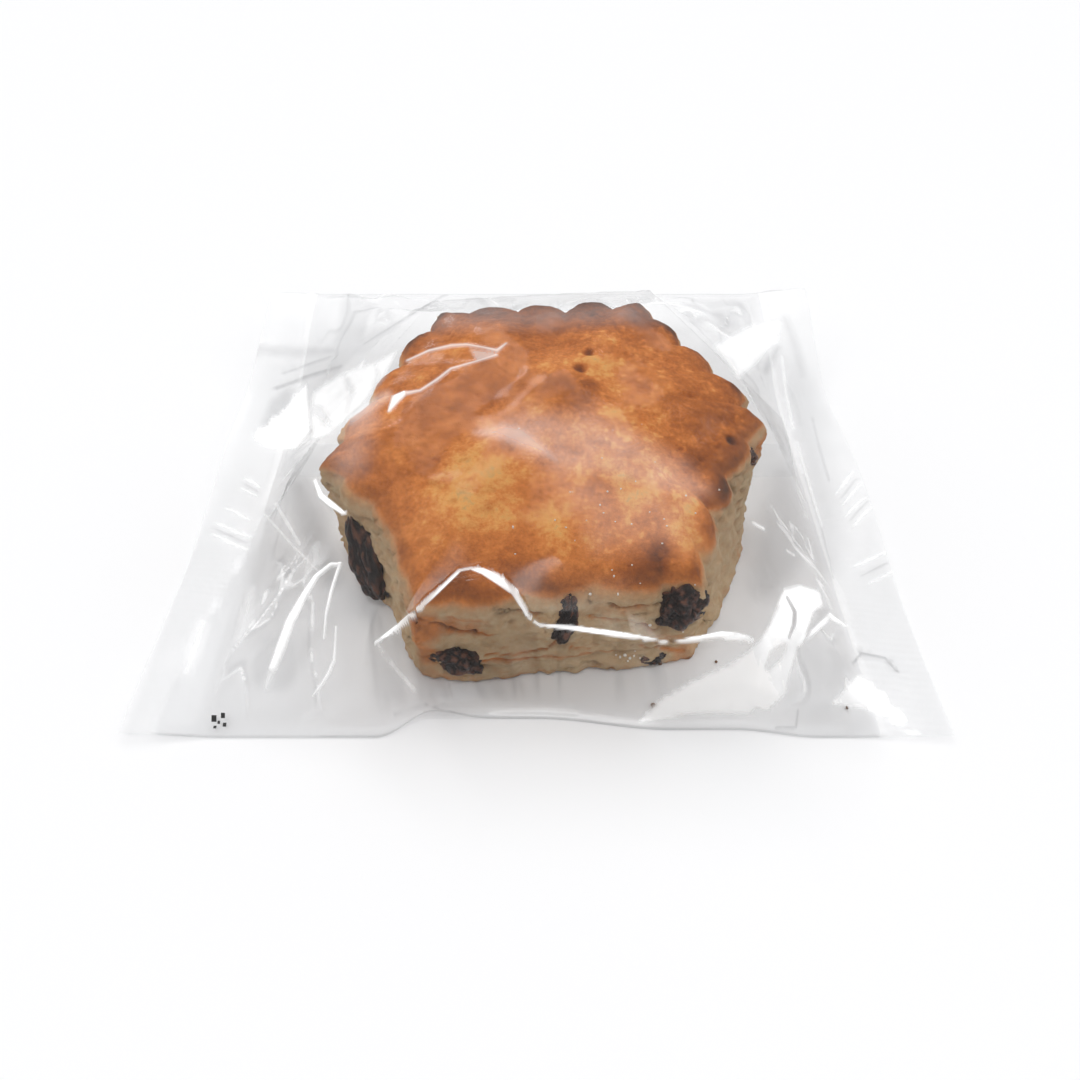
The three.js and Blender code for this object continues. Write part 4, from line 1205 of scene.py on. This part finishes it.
def lying(x, y, size):
    """A crumb that lies on the lower film."""
    return x, y, LOWER_FILM + size / 2 + float(edge_lift(x, y)), size


def lying_at(u, v, size):
    """The same, where the camera sees it."""
    ray = sight(u, v)[0]
    film_level = 0.3
    x, y, _ = EYE + (film_level - EYE[2]) / ray[2] * ray
    return lying(x, y, size)


def crumbs(dough):
    dark = [lying_at(*crumb) for crumb in DARK_CRUMBS]
    for _ in range(CRUMBS_BEHIND):
        a, r = rng.uniform(0.8, math.pi - 0.8), rng.uniform(40, 44)
        size = rng.uniform(0.35, 0.7)
        dark.append(lying(SCONE_AT[0] + r * math.cos(a), SCONE_AT[1] + r * math.sin(a), size))
    pale = [lying_at(*crumb) for crumb in PALE_CRUMBS]
    bits("crumbs_pale", pale, plain_material("pale_crumb", (0.75, 0.66, 0.52), 0.8))
    bits("crumbs_baked", dark, plain_material("baked_crumb", (0.16, 0.075, 0.035), 0.8))

    corners = [corner.co for corner in dough.data.vertices]
    squares = [tuple(face.vertices) for face in dough.data.polygons if len(face.vertices) < 5]
    tree = BVHTree.FromPolygons(corners, squares)
    scattered = []
    for _ in range(SCATTERED_SUGAR):
        u, v = (rng.normal(middle, spread) for middle, spread in zip(SUGAR_AROUND, SUGAR_SPREAD))
        scattered.append((u, v, rng.uniform(0.22, 0.34)))
    spots = []
    for u, v, size in SUGAR + scattered:
        ray = sight(u, v)[0]
        place, *_ = tree.ray_cast(Vector(metres(EYE)), Vector(ray))
        if place is not None:
            spots.append((*(np.array(place) / MM - ray * size * 0.2), size))
    bits("sugar_grains", spots, plain_material("sugar", (0.95, 0.9, 0.82), 0.35), detail=1)


# ---------------------------------------------------------------- stage, light and camera
def sun(name, azimuth, elevation, width, energy):
    """A round soft light far away, seen from the object in the given direction."""
    lamp = bpy.data.lights.new(name, "SUN")
    lamp.angle, lamp.energy = math.radians(width), energy
    obj = bpy.data.objects.new(name, lamp)
    bpy.context.scene.collection.objects.link(obj)
    a, e = math.radians(azimuth), math.radians(elevation)
    towards = Vector((math.cos(a) * math.cos(e), math.sin(a) * math.cos(e), math.sin(e)))
    obj.location = towards
    obj.rotation_euler = (-towards).to_track_quat("-Z", "Y").to_euler()


def stage():
    n = Nodes("pale_floor")
    pale = {"Base Color": (0.94, 0.94, 0.945, 1), "Roughness": 0.9, "Specular IOR Level": 0.1}
    material = n.surface(n.add("BsdfPrincipled", pale).outputs[0])
    far = 3000
    corners = [(-far, -far, 0), (far, -far, 0), (far, far, 0), (-far, far, 0)]
    floor = make("floor", corners, [(0, 1, 2, 3)], material, flat=True)
    scene = bpy.context.scene
    world = bpy.data.worlds.new("studio")
    scene.world = world
    world.use_nodes = True
    sky = world.node_tree.nodes["Background"]
    sky.inputs["Color"].default_value = (0.98, 0.985, 1.0, 1)
    sky.inputs["Strength"].default_value = 0.42
    sun("overhead", -90, 72, 12, 0.46)
    sun("behind", 90, 52, 40, 0.90)
    sun("left_side", 178, 45, 60, 0.50)
    sun("right_side", 2, 45, 60, 0.56)
    sun("back_left", 113, 34, 12, 0.25)
    scene.view_settings.view_transform = "Standard"
    scene.view_settings.look = "None"

    camera = bpy.data.cameras.new("camera")
    camera.sensor_width = 36.0
    camera.lens = camera.sensor_width * FOCAL / PICTURE
    camera.clip_start = 0.001
    obj = bpy.data.objects.new("camera", camera)
    scene.collection.objects.link(obj)
    obj.location = Vector(metres(EYE))
    obj.rotation_euler = (Vector(metres(AIM)) - obj.location).to_track_quat("-Z", "Y").to_euler()
    scene.camera = obj


dough = scone()
sultanas()
bag()
crumbs(dough)
stage()
